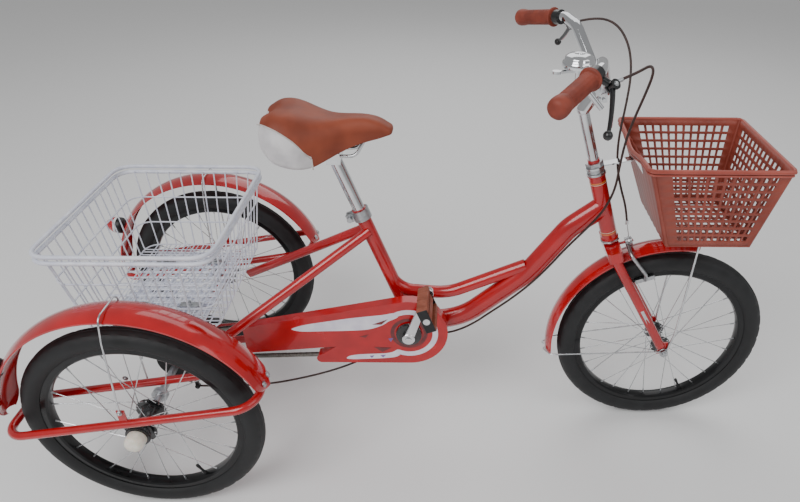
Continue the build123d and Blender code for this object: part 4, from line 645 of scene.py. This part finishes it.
def lattice(edge, columns, rows, left, right, low, high, bar):
    """A wall of square cells, as an open grid with its holes left out."""
    cell = (1 - left - right) / columns
    rise = (1 - low - high) / rows
    across_at, up_at = [0.0], [0.0]
    for k in range(columns):
        across_at += [left + (k + bar / 2) * cell, left + (k + 1 - bar / 2) * cell]
    for k in range(rows):
        up_at += [low + (k + bar / 2) * rise, low + (k + 1 - bar / 2) * rise]
    across_at.append(1.0)
    up_at.append(1.0)
    verts = [tray_point(edge, s, t, 1.4) for t in up_at for s in across_at]
    n, faces = len(across_at), []
    for j in range(len(up_at) - 1):
        for i in range(n - 1):
            if not (i % 2 and j % 2):
                faces.append((j * n + i, j * n + i + 1, (j + 1) * n + i + 1, (j + 1) * n + i))
    return verts, faces


walls = [
    lattice(0, 12, 9, 0.13, 0.07, 0.07, 0.06, 0.3),
    lattice(1, 12, 9, 0.08, 0.08, 0.07, 0.06, 0.3),
    lattice(2, 12, 9, 0.07, 0.13, 0.07, 0.06, 0.3),
]
basket = piece(
    "front_basket_walls", joined(walls), terracotta, "steering", ["front_basket"], 80
)
thick = basket.modifiers.new("wall", "SOLIDIFY")
thick.thickness = 0.0028
thick.offset = 0
floor_bars = []
for k in range(13):
    y = -104 + 208 * k / 12
    floor_bars.append(block(at(1182, y, 579.5), (174, 5, 3)))
for k in range(11):
    x = 1097 + 170 * k / 10
    floor_bars.append(block(at(x, 0, 579.5), (5, 208, 2.6)))
piece("front_basket_floor", joined(floor_bars), terracotta, "steering", bevel=0.4)
back_rows = []
for t in [k / 24 for k in range(25)]:
    back_rows += [tray_point(3, s / 32, t, 1.4 + (1.2 if s % 4 == 0 else 0)) for s in range(33)]
back_faces = []
for j in range(24):
    for a in range(j * 33, j * 33 + 32):
        back_faces.append((a, a + 1, a + 34, a + 33))
back_wall = piece("front_basket_back", (back_rows, back_faces), terracotta, "steering")
thick = back_wall.modifiers.new("wall", "SOLIDIFY")
thick.thickness = 0.0024
posts = []
for x0, y0, x1, y1 in ((1022, 140, 1094, 106), (1294, 140, 1270, 106)):
    for side in (-1, 1):
        inward = 3 if x0 < 1100 else -3
        foot_at, head_at = at(x1 + inward, side * (y1 - 3), 579), at(x0 + inward, side * (y0 - 3), 764)
        posts.append(wire([foot_at, head_at], 4.2, 10))
piece("front_basket_posts", joined(posts), terracotta, "steering")
# The same plastic, painted paler on the lip: a painted highlight along the top rim.
lip_painted_highlight = painted("terracotta_lip_painted_highlight", "#a04a3e", "#b25a4d", (0.34, 0.46), 60.0, 1.0, 0.05, IOR=1.49)
lip_path = []
for edge in range(4):
    lip_path += [tray_point(edge, k / 24, 1.0, -2.0) for k in range(24)]
lip_points = [Vector(p) + Vector((0, 0, -0.0012)) for p in lip_path]
n = len(lip_points)
lip_points = [(lip_points[i - 1] + lip_points[i] * 2 + lip_points[(i + 1) % n]) / 4 for i in range(n)]
# The lip and its fold take the paler material, a painted highlight along the rim.
piece("front_basket_lip", wire(lip_points, 4.6, 10, True), lip_painted_highlight, "steering")
fold = [(Vector(p) + Vector((0, 0, -0.008))) for p in lip_points]
piece("front_basket_lip_fold", wire(fold, 2.4, 8, True), lip_painted_highlight, "steering")

# ---------------------------------------------------------------- chain guard
# Pressed steel cover, enamelled red, with a printed transfer: a white swoosh that wraps the
# crank's ring, small dark flashes, and a plain red oval. The transfer stands 0.2 mm proud.
# The frame's red on pressed sheet, a little duller.
guard_enamel = painted("guard_enamel", "#ac000a", "#c00511", (0.22, 0.3), 50.0, 12.0, 0.02, Coat_Weight=0.5)
carry(guard_enamel, "chain_guard")
GUARD_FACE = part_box("chain_guard")[0].y * 1000
# Three flat printing inks under the guard's lacquer.
print_white = painted("transfer_white", "#dcd7e6", "#ebe8f1", (0.2, 0.3), 30.0, 2.0, 0.01, Coat_Weight=0.5)
print_dark = painted("transfer_dark", "#5c1016", "#7a1a1c", (0.2, 0.3), 20.0, 2.0, 0.01, Coat_Weight=0.5)
print_violet = painted("transfer_violet", "#6d4f93", "#7f62a4", (0.2, 0.3), 20.0, 2.0, 0.01, Coat_Weight=0.5)


def transfer(points, depth=0.25, smooth=True):
    """A flat printed shape on the guard's outer face, from (forward, up) corners."""
    flat = [Vector((x, z)) for x, z in points]
    if smooth:
        n, closer = len(flat), []
        for i in range(n):
            a, b, c, d = flat[i - 1], flat[i], flat[(i + 1) % n], flat[(i + 2) % n]
            for k in range(5):
                t = k / 5
                curve = b * 2 + (c - a) * t + (a * 2 - b * 5 + c * 4 - d) * t * t
                closer.append((curve + (b * 3 - a - c * 3 + d) * t**3) / 2)
        flat = closer
    n = len(flat)
    verts = [at(p.x, GUARD_FACE - depth, p.y) for p in flat] + [at(p.x, GUARD_FACE - 0.02, p.y) for p in flat]
    faces = [tuple(range(n)), tuple(reversed(range(n, 2 * n)))]
    faces += [(i, (i + 1) % n, n + (i + 1) % n, n + i) for i in range(n)]
    return verts, faces


def hoop(x, z, inner, outer, start=0, stop=360, stretch=1.0):
    """A ring, or part of one, as transfer corners."""
    steps = max(8, round((stop - start) / 8))
    turns = [math.radians(start + (stop - start) * k / steps) for k in range(steps + 1)]
    far = [(x + outer * math.cos(a), z + outer * stretch * math.sin(a)) for a in turns]
    near = [(x + inner * math.cos(a), z + inner * stretch * math.sin(a)) for a in turns]
    return far + near[::-1]


RING_X, RING_Z = 548, 310
swoosh = [
    (272, 319), (278, 325), (306, 334), (357, 344), (419, 355), (486, 364), (517, 370), (523, 358),
    (502, 346), (484, 333), (450, 321), (402, 317), (347, 315), (296, 313.5),
]
lower = [
    (394, 231), (402, 239), (427, 244), (459, 246), (488, 248), (506, 252), (520, 260), (525, 247),
    (516, 238), (490, 233), (440, 230), (410, 228.5),
]
piece("guard_swoosh", joined([transfer(swoosh), transfer(lower)]), print_white, "frame")
band = transfer(hoop(RING_X, RING_Z, 56, 69, -118, 118), 0.32, False)
piece("guard_ring_print", band, print_white, "frame")
oval = transfer(hoop(RING_X, RING_Z, 35, 44, 0, 359), smooth=False)
piece("guard_oval_print", oval, print_dark, "frame")
flashes = [
    [(462, 336), (500, 352), (484, 336)], [(462, 268), (504, 266), (482, 252)],
    [(430, 300), (452, 306), (444, 296)],
]
spots = [
    [(450, 240), (462, 241), (455, 233)], [(476, 242), (490, 243), (483, 235)],
    [(504, 284), (510, 296), (498, 294)],
]
for name, marks, print_ink in (("guard_flashes", flashes, print_dark), ("guard_spots", spots, print_violet)):
    shapes = [transfer(mark, 0.4, False) for mark in marks]
    piece(name, joined(shapes), print_ink, "frame")

# ---------------------------------------------------------------- cranks, chain and pedals
# Forged crank arms are chromed, the chainring is bright pressed steel, the chain is greased
# steel. Pedals are brown moulded blocks in dark cages with pale end caps.
# Steel under oil: brownish grey and dull.
chain_steel = painted("oiled_chain_steel", "#6a6660", "#8d8a85", (0.3, 0.45), 6.0, 1.0, 0.02, Metallic=1.0)
carry(chain_steel, "chain", "rear_cog")
carry(zinc_steel, "chainring", "left_shaft", "drive_shaft", "front_axle")
carry(zinc_steel, "seat_clamp", "headset_nut", "bearing_cups")
# Chrome plate: a near mirror with a faint wave.
chrome = painted("chrome_plate", "#c9cbce", "#e6e7e9", (0.05, 0.12), 90.0, 25.0, 0.01, Metallic=1.0)
CRANK_TURN = math.radians(20)
ARM_LENGTH, ARM_FACE = 0.14, 0.0785
OUTWARD = Vector((math.sin(CRANK_TURN), 0, math.cos(CRANK_TURN)))
arms = []
for side in (-1, 1):
    way = OUTWARD if side < 0 else -OUTWARD
    face = SIDEWAYS * side
    start = CRANK + face * ARM_FACE
    arms.append(lathe([(8.2, 0), (14.4, 0), (15, 1), (15, 12), (14, 13), (7, 13)], start, face, 40))
    arms.append(lathe([(0, 11), (7.4, 11), (7.4, 14.4), (5, 15.6), (0, 15.8)], start, face, 6))
    eye = start + way * ARM_LENGTH
    arms.append(lathe([(5, 0), (11.4, 0), (12, 1), (12, 12), (11, 13), (5, 13)], eye, face, 32))
    side_way = way.cross(face).normalized()
    section = []
    for t, half, thin in ((0.08, 11.4, 6.0), (0.3, 10.4, 5.7), (0.6, 9.2, 5.3), (0.93, 8.6, 5.2)):
        middle = start + way * ARM_LENGTH * t + face * 0.0065
        for k in range(16):
            a = 2 * math.pi * k / 16
            x, y = math.cos(a), math.sin(a)
            x, y = (abs(x) ** 0.5) * math.copysign(1, x), (abs(y) ** 0.5) * math.copysign(1, y)
            section.append(middle + (side_way * x * half + face * y * thin) / 1000)
    rows = [tuple(range(16)), tuple(range(48, 64))]
    for j in range(0, 48, 16):
        for k in range(16):
            a, b = j + k, j + (k + 1) % 16
            rows.append((a, b, b + 16, a + 16))
    arms.append((section, rows))
arms.append(wire([CRANK - SIDEWAYS * ARM_FACE, CRANK + SIDEWAYS * ARM_FACE], 8, 24))
for side in (-1, 1):
    eye = CRANK + (OUTWARD if side < 0 else -OUTWARD) * ARM_LENGTH + SIDEWAYS * side * 0.0915
    arms.append(wire([eye - SIDEWAYS * side * 0.011, eye + SIDEWAYS * side * 0.1], 4.8, 16))
piece("crank_arms", joined(arms), chrome, "crankset", ["cranks"])
boss = [(9, 0), (30, 0), (30, 1.6), (25, 3), (20, 4), (9, 4)]
collar = lathe(boss, CRANK - SIDEWAYS * 0.0735, -SIDEWAYS, 48)
piece("crank_boss", collar, black_hub, "crankset")
# Brown moulded plastic, scuffed half matt.
pedal_brown = painted("pedal_copper_brown", "#7c3b22", "#95503a", (0.35, 0.5), 20.0, 1.0, 0.05)
# Pale grey plastic, plain.
cap_grey = painted("pedal_cap_grey", "#c9c9cb", "#dcdcde", (0.35, 0.45), 14.0, 1.0, 0.03)
for name, side in (("right", -1), ("left", 1)):
    node = "pedal_" + name
    low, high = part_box(node)
    middle = (low + high) / 2
    tilt = math.radians(70)
    long_way = Vector((math.cos(tilt), 0, -math.sin(tilt)))
    up_way = Vector((math.sin(tilt), 0, math.cos(tilt)))
    treads, cage = [], []
    for end in (-1, 1):
        treads.append(block(middle + long_way * end * 0.0245, (10, 88, 24), long_way, up_way))
        for rib in range(9):
            y = -38 + 76 * rib / 8
            rib_at = middle + long_way * end * 0.0245 + SIDEWAYS * y / 1000
            treads.append(block(rib_at, (11, 4, 24.8), long_way, up_way))
    treads.append(block(middle, (16, 86, 19), long_way, up_way))
    piece(name + "_pedal_treads", joined(treads), pedal_brown, node, [node], bevel=0.8)
    for end in (-1, 1):
        cage.append(block(middle + SIDEWAYS * end * 0.0445, (58, 3, 22), long_way, up_way))
    piece(name + "_pedal_cage", joined(cage), black_plastic, node, bevel=0.8)
    tip = middle + SIDEWAYS * side * 0.0448
    cap = lathe([(0, 0.4), (9, 0.4), (8.6, 1.0), (7, 1.3), (0, 1.3)], tip, SIDEWAYS * side, 32)
    piece(name + "_pedal_cap", cap, cap_grey, node)

# ---------------------------------------------------------------- fork, headset and stem
# The fork is red like the frame over a chromed crown and headset; the tall stem is one bent
# steel post, chromed, with a split clamp round the bar.
carry(red_enamel, "fork")
carry(chrome, "stem", "handlebar", "seat_post", "basket_bracket", "bell_lever")
carry(drawn_wire, "saddle_rails")
# Hand-lining paint, orange and cream, glossy.
stripe_orange = painted(
    "pinstripe_orange", "#d2772a", "#dd8a35", (0.2, 0.3), 20.0, 3.0, 0.01, Coat_Weight=0.6
)
stripe_cream = painted("pinstripe_cream", "#e6dcb4", "#efe7c8", (0.2, 0.3), 20.0, 3.0, 0.01, Coat_Weight=0.6)


def stripe(up, width):
    section = [(17.9, 0), (18.12, 0), (18.12, width), (17.9, width)]
    return lathe(section, steered(0, 0, up), STEER_UP, 64, True)


for name, ups, width, ink in (
    ("head_tube_stripes", (52, 182), 2.2, stripe_orange),
    ("head_tube_lines", (57, 179), 1.0, stripe_cream),
):
    piece(name, joined([stripe(u, width) for u in ups]), ink, "frame")
cups = []
for up, turn in ((30, 1), (206, -1)):
    cup = [(15.6, 0), (20.5, 0), (21, 1), (21, 3.4), (19, 4), (18.8, 6), (15.6, 6)]
    cups.append(lathe(cup, steered(0, 0, up), STEER_UP * turn, 56, True))
piece("headset_cups", joined(cups), chrome, "frame")

# Silvery printed film, smooth.
label_grey = painted("label_grey", "#b9b9bb", "#cfcfd0", (0.3, 0.4), 12.0, 2.0, 0.01)
blade_top, blade_low = at(1073, 0, 406), at(1156, 0, 266)
blade_way = blade_low - blade_top
labels = []
for side in (-1, 1):
    middle = blade_top.lerp(blade_low, 0.42) + SIDEWAYS * side * 0.0611
    labels.append(block(middle, (64, 1.6, 7), blade_way, blade_way.cross(SIDEWAYS)))
piece("fork_labels", joined(labels), label_grey, "steering", bevel=0.3)

# ---------------------------------------------------------------- brake levers
# Clamped alloy brackets, painted black, with black sprung blades that end in a ball. A pink
# plastic strip is let into each blade, and a bright barrel adjuster takes the cable.
# Black paint on alloy, half gloss.
lever_black = painted("lever_black", "#0d0d0f", "#17171a", (0.26, 0.38), 16.0, 1.2, 0.03, Coat_Weight=0.4)
# Bright pink plastic, clean.
lever_pink = painted("lever_insert_pink", "#c8506a", "#d9657d", (0.3, 0.4), 12.0, 1.0, 0.02)
carry(lever_black, "lever_brackets", "band_brake", "rear_brake_arm")
BLADE_LENGTH = 0.092


def grip_line(side):
    end, before = at(803, side * 313, 940), at(888, side * 196, 966)
    return end, (before - end).normalized()


def lever_frame(side):
    """The lever's pivot and ball, and its pull axis."""
    end, inward = grip_line(side)
    clamp = end + inward * 0.12
    pivot = clamp + Vector((0.033, side * 0.002, -0.014))
    along = Vector((-0.014, side * 0.07, -0.054)).normalized()
    ball = pivot + along * BLADE_LENGTH
    from_bar = ball - end
    to_grip = (inward * from_bar.dot(inward) - from_bar).normalized()
    return clamp, pivot, ball, along, along.cross(to_grip).normalized(), to_grip


for name, side in (("right", -1), ("left", 1)):
    clamp, pivot, ball, along, axis, to_grip = lever_frame(side)
    bow = []
    for k in range(15):
        t = k / 14
        bow.append(pivot + along * BLADE_LENGTH * t - to_grip * 0.003 * math.sin(math.pi * t))
    blade = wire(bow, 4.4, 16, widths=[1.08 - 0.34 * k / 14 for k in range(15)])
    ball_line = [(8 * math.sin(math.pi * k / 12), -8 * math.cos(math.pi * k / 12)) for k in range(13)]
    shapes = [blade, lathe(ball_line, ball, along, 24)]
    bush = [(2.6, -5), (7, -5), (7.5, -4.4), (7.5, 4.4), (7, 5), (2.6, 5)]
    shapes.append(lathe(bush, pivot, axis, 32, True))
    lever = "brake_lever_" + name
    piece(name + "_lever_blade", joined(shapes), lever_black, lever, [lever])
    strip = [p - to_grip * 0.0034 for p in bow[4:12]]
    piece(name + "_lever_insert", wire(strip, 1.7, 8), lever_pink, lever)
    screw = dome_screw(pivot - axis * 0.0084, -axis, 3)
    piece(name + "_lever_screw", screw, zinc_steel, "steering")

# ---------------------------------------------------------------- grips
# Moulded brown rubber sleeves pushed on the bar, finely ribbed, with a thick rounded outer
# end and a thin flange at the hand's inner side.
# Brown rubber, soft and dull.
grip_rubber = painted("grip_rubber_brown", "#7d3323", "#93412f", (0.5, 0.66), 24.0, 0.6, 0.08, IOR=1.5)
grips = []
for side in (-1, 1):
    end, inward = grip_line(side)
    start = end - inward * 0.006
    profile = [(0, 0), (9, 0.3), (14, 2), (17, 6), (18, 12), (17.6, 20), (16.2, 29)]
    for k in range(30):
        a = 32 + 2.6 * k
        profile += [(15.1, a), (15.9, a + 0.6), (15.9, a + 1.7), (15.1, a + 2.3)]
    profile += [(15.4, 111), (16, 113), (19.4, 114), (20, 115), (20, 117), (19.4, 118), (11.3, 118)]

    def flutes(k, i, radius, along):
        return radius - (0.35 if k % 4 == 0 and 30 < along < 110 else 0), along

    grips.append(lathe(profile, start, inward, 64, shape_at=flutes))
piece("grip_sleeves", joined(grips), grip_rubber, "steering", ["grips"], 50)

# ---------------------------------------------------------------- bell
# A spun steel dome in two steps, chromed, screwed on a base that clamps the bar, with a
# thumb lever under its rim.
place = at(872, -88, 941)
dome = [
    (27, 0), (29.6, 0), (30, 0.8), (30, 7), (29.4, 9), (27.4, 11), (26.4, 12.6), (26, 16), (25, 18),
    (22, 20), (18.6, 22.2), (14, 23.4), (7, 24), (5, 23), (4.6, 24.4), (2, 24.9), (0, 25),
]
under = [(27, 0), (27, 8), (5, 9), (5, -22), (0, -22)]
bell_shapes = [lathe(dome, place, Vector((0, 0, 1)), 72), lathe(under, place, Vector((0, 0, 1)), 48)]
bell_shapes.append(wire([place - Vector((0, 0, 0.019)), at(924, -86, 864)], 5.6, 16))
piece("bell_dome", joined(bell_shapes), chrome, "steering", ["bell"])

# ---------------------------------------------------------------- front brake
# A side-pull caliper of bright steel, bolted through the crown. The cable's bare inner wire
# runs from a barrel adjuster down to the nut on its bolt.
carry(zinc_steel, *[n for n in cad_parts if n.startswith("caliper")])

inner_wire = wire([at(1044, 22, 566), at(1047.5, 16, 548), at(1050.5, 9, 533.5)], 0.9, 8)
sleeve = [(1, -5), (3.6, -5), (3.6, 4), (2.7, 5), (2.7, 7), (1, 7)]
adjuster = lathe(sleeve, at(1044, 22, 565), Vector((-0.1, 0.1, 1)), 20, True)
bolt_head = hex_nut(at(1047.2, 0, 528.2) + FORWARD * 0.0005, FORWARD, 8, 4, 3)
fittings = joined([inner_wire, adjuster, bolt_head])
piece("front_brake_fittings", fittings, drawn_wire, "steering")

# ---------------------------------------------------------------- saddle
# Brown leatherette over foam on a moulded base, with pale grey panels sewn in on both rear
# sides. A light piping follows each seam; the rear edge has a notch between its two lobes.
BACK_X, NOSE_X, TOP_Z = 264.0, 528.0, 836.0
# Brown leatherette: a fine cell grain that breaks up the highlight.
skin = painted(
    "saddle_leatherette", "#7c3620", "#93452c", (0.45, 0.58), 55.0, cells_mm=1.8, depth_mm=0.12, IOR=1.46
)
# Pale grey leatherette, coarser and duller.
panel = painted("saddle_panel_grey", "#c4c1c3", "#d8d5d6", (0.38, 0.5), 30.0, 1.8, 0.1, IOR=1.5)
# Off-white piping cord.
piping = painted("saddle_piping", "#b9b2ac", "#cfc8c2", (0.4, 0.5), 12.0, 1.0, 0.05)


def along_saddle(values, t):
    """Reads a smooth value at t between evenly spaced ones."""
    n = len(values) - 1
    i = min(int(t * n), n - 1)
    f = t * n - i
    a, b, c, d = values[max(i - 1, 0)], values[i], values[i + 1], values[min(i + 2, n)]
    return (2 * b + (c - a) * f + (2 * a - 5 * b + 4 * c - d) * f * f + (3 * b - a - 3 * c + d) * f**3) / 2


HALF_W = [74, 99, 103, 97, 80, 60, 44, 35, 30, 28, 20]
TOP_LINE = [-15, -3, -1, -5, -12, -18, -19, -18, -19, -26, -42]
LOW_LINE = [-66, -92, -104, -108, -104, -95, -84, -74, -66, -59, -52]
SEAM = [0.31, 0.275, 0.23, 0.165, 0.045]
ROWS, ROUND, PANEL = 25, 26, 6
verts, faces, panel_faces = [], [], set()
for j in range(ROWS + 1):
    t = j / ROWS
    half, high, low = (along_saddle(v, t) for v in (HALF_W, TOP_LINE, LOW_LINE))
    seam = along_saddle(SEAM, min(t / 0.4, 1.0)) * math.pi
    x = BACK_X + 3 + (NOSE_X - BACK_X - 4) * t
    for k in range(ROUND + 1):
        near_end = min(k, ROUND - k)
        if near_end <= PANEL:
            a = seam * near_end / PANEL
        else:
            a = seam + (math.pi / 2 - seam) * (near_end - PANEL) / (ROUND / 2 - PANEL)
        a = a if k <= ROUND / 2 else math.pi - a
        wide = math.copysign(abs(math.cos(a)) ** 0.62, math.cos(a))
        rise = math.sin(a)
        lobe = 5 * math.exp(-(((t - 0.16) / 0.14) ** 2)) * math.exp(-(((abs(wide) - 0.5) / 0.3) ** 2))
        groove = -4 * math.exp(-((wide / 0.16) ** 2)) * (1 - t) ** 0.5
        notch = 15 * math.exp(-((wide / 0.24) ** 2)) * max(0, 1 - t * 7)
        tuck = 1 - 0.14 * max(0, 0.35 - rise)
        level = low + (high - low) * rise**0.72 + (lobe + groove) * rise
        verts.append(at(x + notch * rise, half * wide * tuck, TOP_Z + min(level, -1.0)))
for j in range(ROWS):
    for k in range(ROUND):
        a = j * (ROUND + 1) + k
        if j < 10 and not PANEL <= k < ROUND - PANEL:
            panel_faces.add(len(faces))
        faces.append((a, a + 1, a + ROUND + 2, a + ROUND + 1))
panel_faces.add(len(faces))
faces.append(tuple(range(ROUND + 1)))
faces.append(tuple(reversed(range(ROWS * (ROUND + 1), (ROWS + 1) * (ROUND + 1)))))
for j in range(ROWS):
    a, b = j * (ROUND + 1), (j + 1) * (ROUND + 1)
    faces.append((a, b, b + ROUND, a + ROUND))
under_from = len(faces) - ROWS
saddle = piece("saddle_cover", (verts, faces), skin, "seat", ["saddle_cushion"], 85)
saddle.data.materials.append(panel)
for index in panel_faces:
    saddle.data.polygons[index].material_index = 1
saddle.data.materials.append(black_plastic)
for face in list(saddle.data.polygons)[under_from:]:
    face.material_index = 2
smooth = saddle.modifiers.new("smooth", "SUBSURF")
smooth.levels = smooth.render_levels = 2
seams = []
for k in (PANEL, ROUND - PANEL):
    line = [verts[j * (ROUND + 1) + k] for j in range(11)]
    line += [verts[10 * (ROUND + 1) + (k + (PANEL if k > PANEL else -PANEL))]]
    seams.append(wire(line, 1.3, 8))
piece("saddle_piping", joined(seams), piping, "seat")

# ---------------------------------------------------------------- brake cables
# Steel cable in brown plastic sheath, 5 mm across. The front one arcs from the left lever
# down to the caliper; the rear one runs from the right lever along the frame to the drum.
# Brown vinyl sheath, half matt.
sheath = painted("cable_sheath_brown", "#2b1713", "#3d221c", (0.34, 0.46), 10.0, 1.2, 0.03, IOR=1.48)


def cord_line(name, points):
    """An open NURBS line whose control points are a cable's route points."""
    line = bpy.data.curves.new(name, "CURVE")
    line.dimensions = "3D"
    spline = line.splines.new("NURBS")
    spline.points.add(len(points) - 1)
    for slot_at, p in zip(spline.points, points):
        slot_at.co = (*p, 1)
    spline.order_u = 3
    spline.use_endpoint_u = True
    spline.resolution_u = 10
    made = bpy.data.objects.new(name, line)
    bpy.context.collection.objects.link(made)
    return made


def follow(line):
    """The points that a line without thickness runs through, in order."""
    drawn = bpy.data.meshes.new_from_object(line.evaluated_get(bpy.context.evaluated_depsgraph_get()))
    return [v.co.copy() for v in drawn.vertices]


def run_length(points):
    return sum((b - a).length for a, b in zip(points, points[1:]))


FRONT_RUN = [
    (14, 196, 84), (54, 166, 78), (78, 132, 42), (82, 96, -6), (72, 62, -60), (60, 36, -118),
    (62, 26, -176), (78, 22, -232), (98, 22, -280), (106, 22, -318),
]
front_points = [at(914.4, 211.5, 953.2)] + [at(938 + x, y, 883 + z) for x, y, z in FRONT_RUN]
front_cable = cord_line("front_cable", front_points)
front_length = run_length(follow(front_cable))
front_cable.data.bevel_depth = 0.0025
front_cable.data.bevel_resolution = 4
front_cable.data.materials.append(sheath)
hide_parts("front_brake_cable")
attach(front_cable, "steering")

BAR_RUN = [
    (10, -198, 80), (38, -172, 86), (56, -136, 62), (58, -102, 14), (55, -72, -40), (52, -48, -96),
    (52, -36, -154), (52, -32, -212), (34, -31, -264), (2, -29, -310),
]
CROWN_RUN = [(-112, -26, 214), (-146, -26, 164), (-184, -26, 116), (-228, -26, 72)]
FRAME_RUN = [
    (194, -26, 34), (150, -26, -4), (104, -26, -28), (54, -25, -36), (2, -24, -42), (-44, -25, -62),
    (-86, -27, -90), (-130, -31, -118), (-180, -38, -137), (-232, -50, -147), (-284, -64, -151),
    (-336, -78, -152), (-388, -88, -150), (-440, -92, -149), (-482, -92, -150),
]
rear_points = [at(914.4, -211.5, 953.2)] + [at(938 + x, y, 883 + z) for x, y, z in BAR_RUN]
rear_points += [at(1015 + x, y, 310 + z) for x, y, z in CROWN_RUN]
rear_points += [at(547.97 + x, y, 310 + z) for x, y, z in FRAME_RUN]
rear_points.append(at(30.3, -92, 160))
rear_line = cord_line("rear_cable_line", rear_points)
rear_path = follow(rear_line)
bpy.data.objects.remove(rear_line)
tube = wire(rear_path, 2.5, 12)
rear_mesh = bpy.data.meshes.new("rear_cable")
rear_mesh.from_pydata([tuple(v) for v in tube[0]], [], tube[1])
rear_mesh.shade_smooth()
rear_mesh.materials.append(sheath)
rear_cable = bpy.data.objects.new("rear_cable", rear_mesh)
bpy.context.collection.objects.link(rear_cable)
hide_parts("rear_brake_cable")
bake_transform(rear_cable)

ferrules = []
for side, points in ((1, front_points), (-1, rear_points)):
    way = (points[1] - points[0]).normalized()
    barrel = [(2.7, -6), (4.6, -6), (5, -5), (5, -1), (3.9, 0), (3.9, 8), (3.2, 9), (2.7, 9)]
    ferrules.append(lathe(barrel, points[0], way, 24, True))
piece("barrel_adjusters", joined(ferrules), zinc_steel, "steering")


# ---------------------------------------------------------------- floor, light and camera
# A pale sweep under soft studio light: one big key from the front right, a weaker fill, and
# a wide top light that draws the long highlights along the tubes.
floor_mesh = bpy.data.meshes.new("floor")
floor_mesh.from_pydata([(-9, -9, 0), (9, -9, 0), (9, 9, 0), (-9, 9, 0)], [], [(0, 1, 2, 3)])
floor = bpy.data.objects.new("floor", floor_mesh)
bpy.context.collection.objects.link(floor)
floor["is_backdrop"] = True
floor_mesh.materials.append(new_finish("pale_floor", Base_Color=colour("#f2f2f2"), Roughness=0.6)[0])

camera = bpy.data.objects.new("camera", bpy.data.cameras.new("camera"))
bpy.context.collection.objects.link(camera)
right = Vector((0.99996916, 0.00128468, 0.00774757))
up = Vector((-0.00712256, 0.56393259, 0.82579011))
turned = Matrix((right, up, right.cross(up))).transposed().to_4x4()
camera.matrix_world = Matrix.Translation(at(645.49, -1249.78, 1265.58)) @ turned
camera.data.sensor_width = 36
camera.data.lens = 28.747
camera.data.shift_x = -0.06577125
camera.data.shift_y = 0.03888875
bpy.context.scene.camera = camera

for name, place, size, power in (
    ("key", (-1.6, -2.4, 3.2), 2.4, 95),
    ("fill", (2.4, -1.6, 2.6), 2.4, 25),
    ("back", (0.4, 2.6, 3.0), 3.0, 40),
):
    lamp = bpy.data.objects.new(name, bpy.data.lights.new(name, "AREA"))
    lamp.data.size = size
    lamp.data.energy = power
    lamp.location = place
    lamp.rotation_euler = (Vector((0, 0, 0.4)) - Vector(place)).to_track_quat("-Z", "Y").to_euler()
    bpy.context.collection.objects.link(lamp)
world = bpy.data.worlds.new("studio")
world.use_nodes = True
world.node_tree.nodes["Background"].inputs["Color"].default_value = (1, 1, 1, 1)
world.node_tree.nodes["Background"].inputs["Strength"].default_value = 0.38
bpy.context.scene.world = world

low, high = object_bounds()
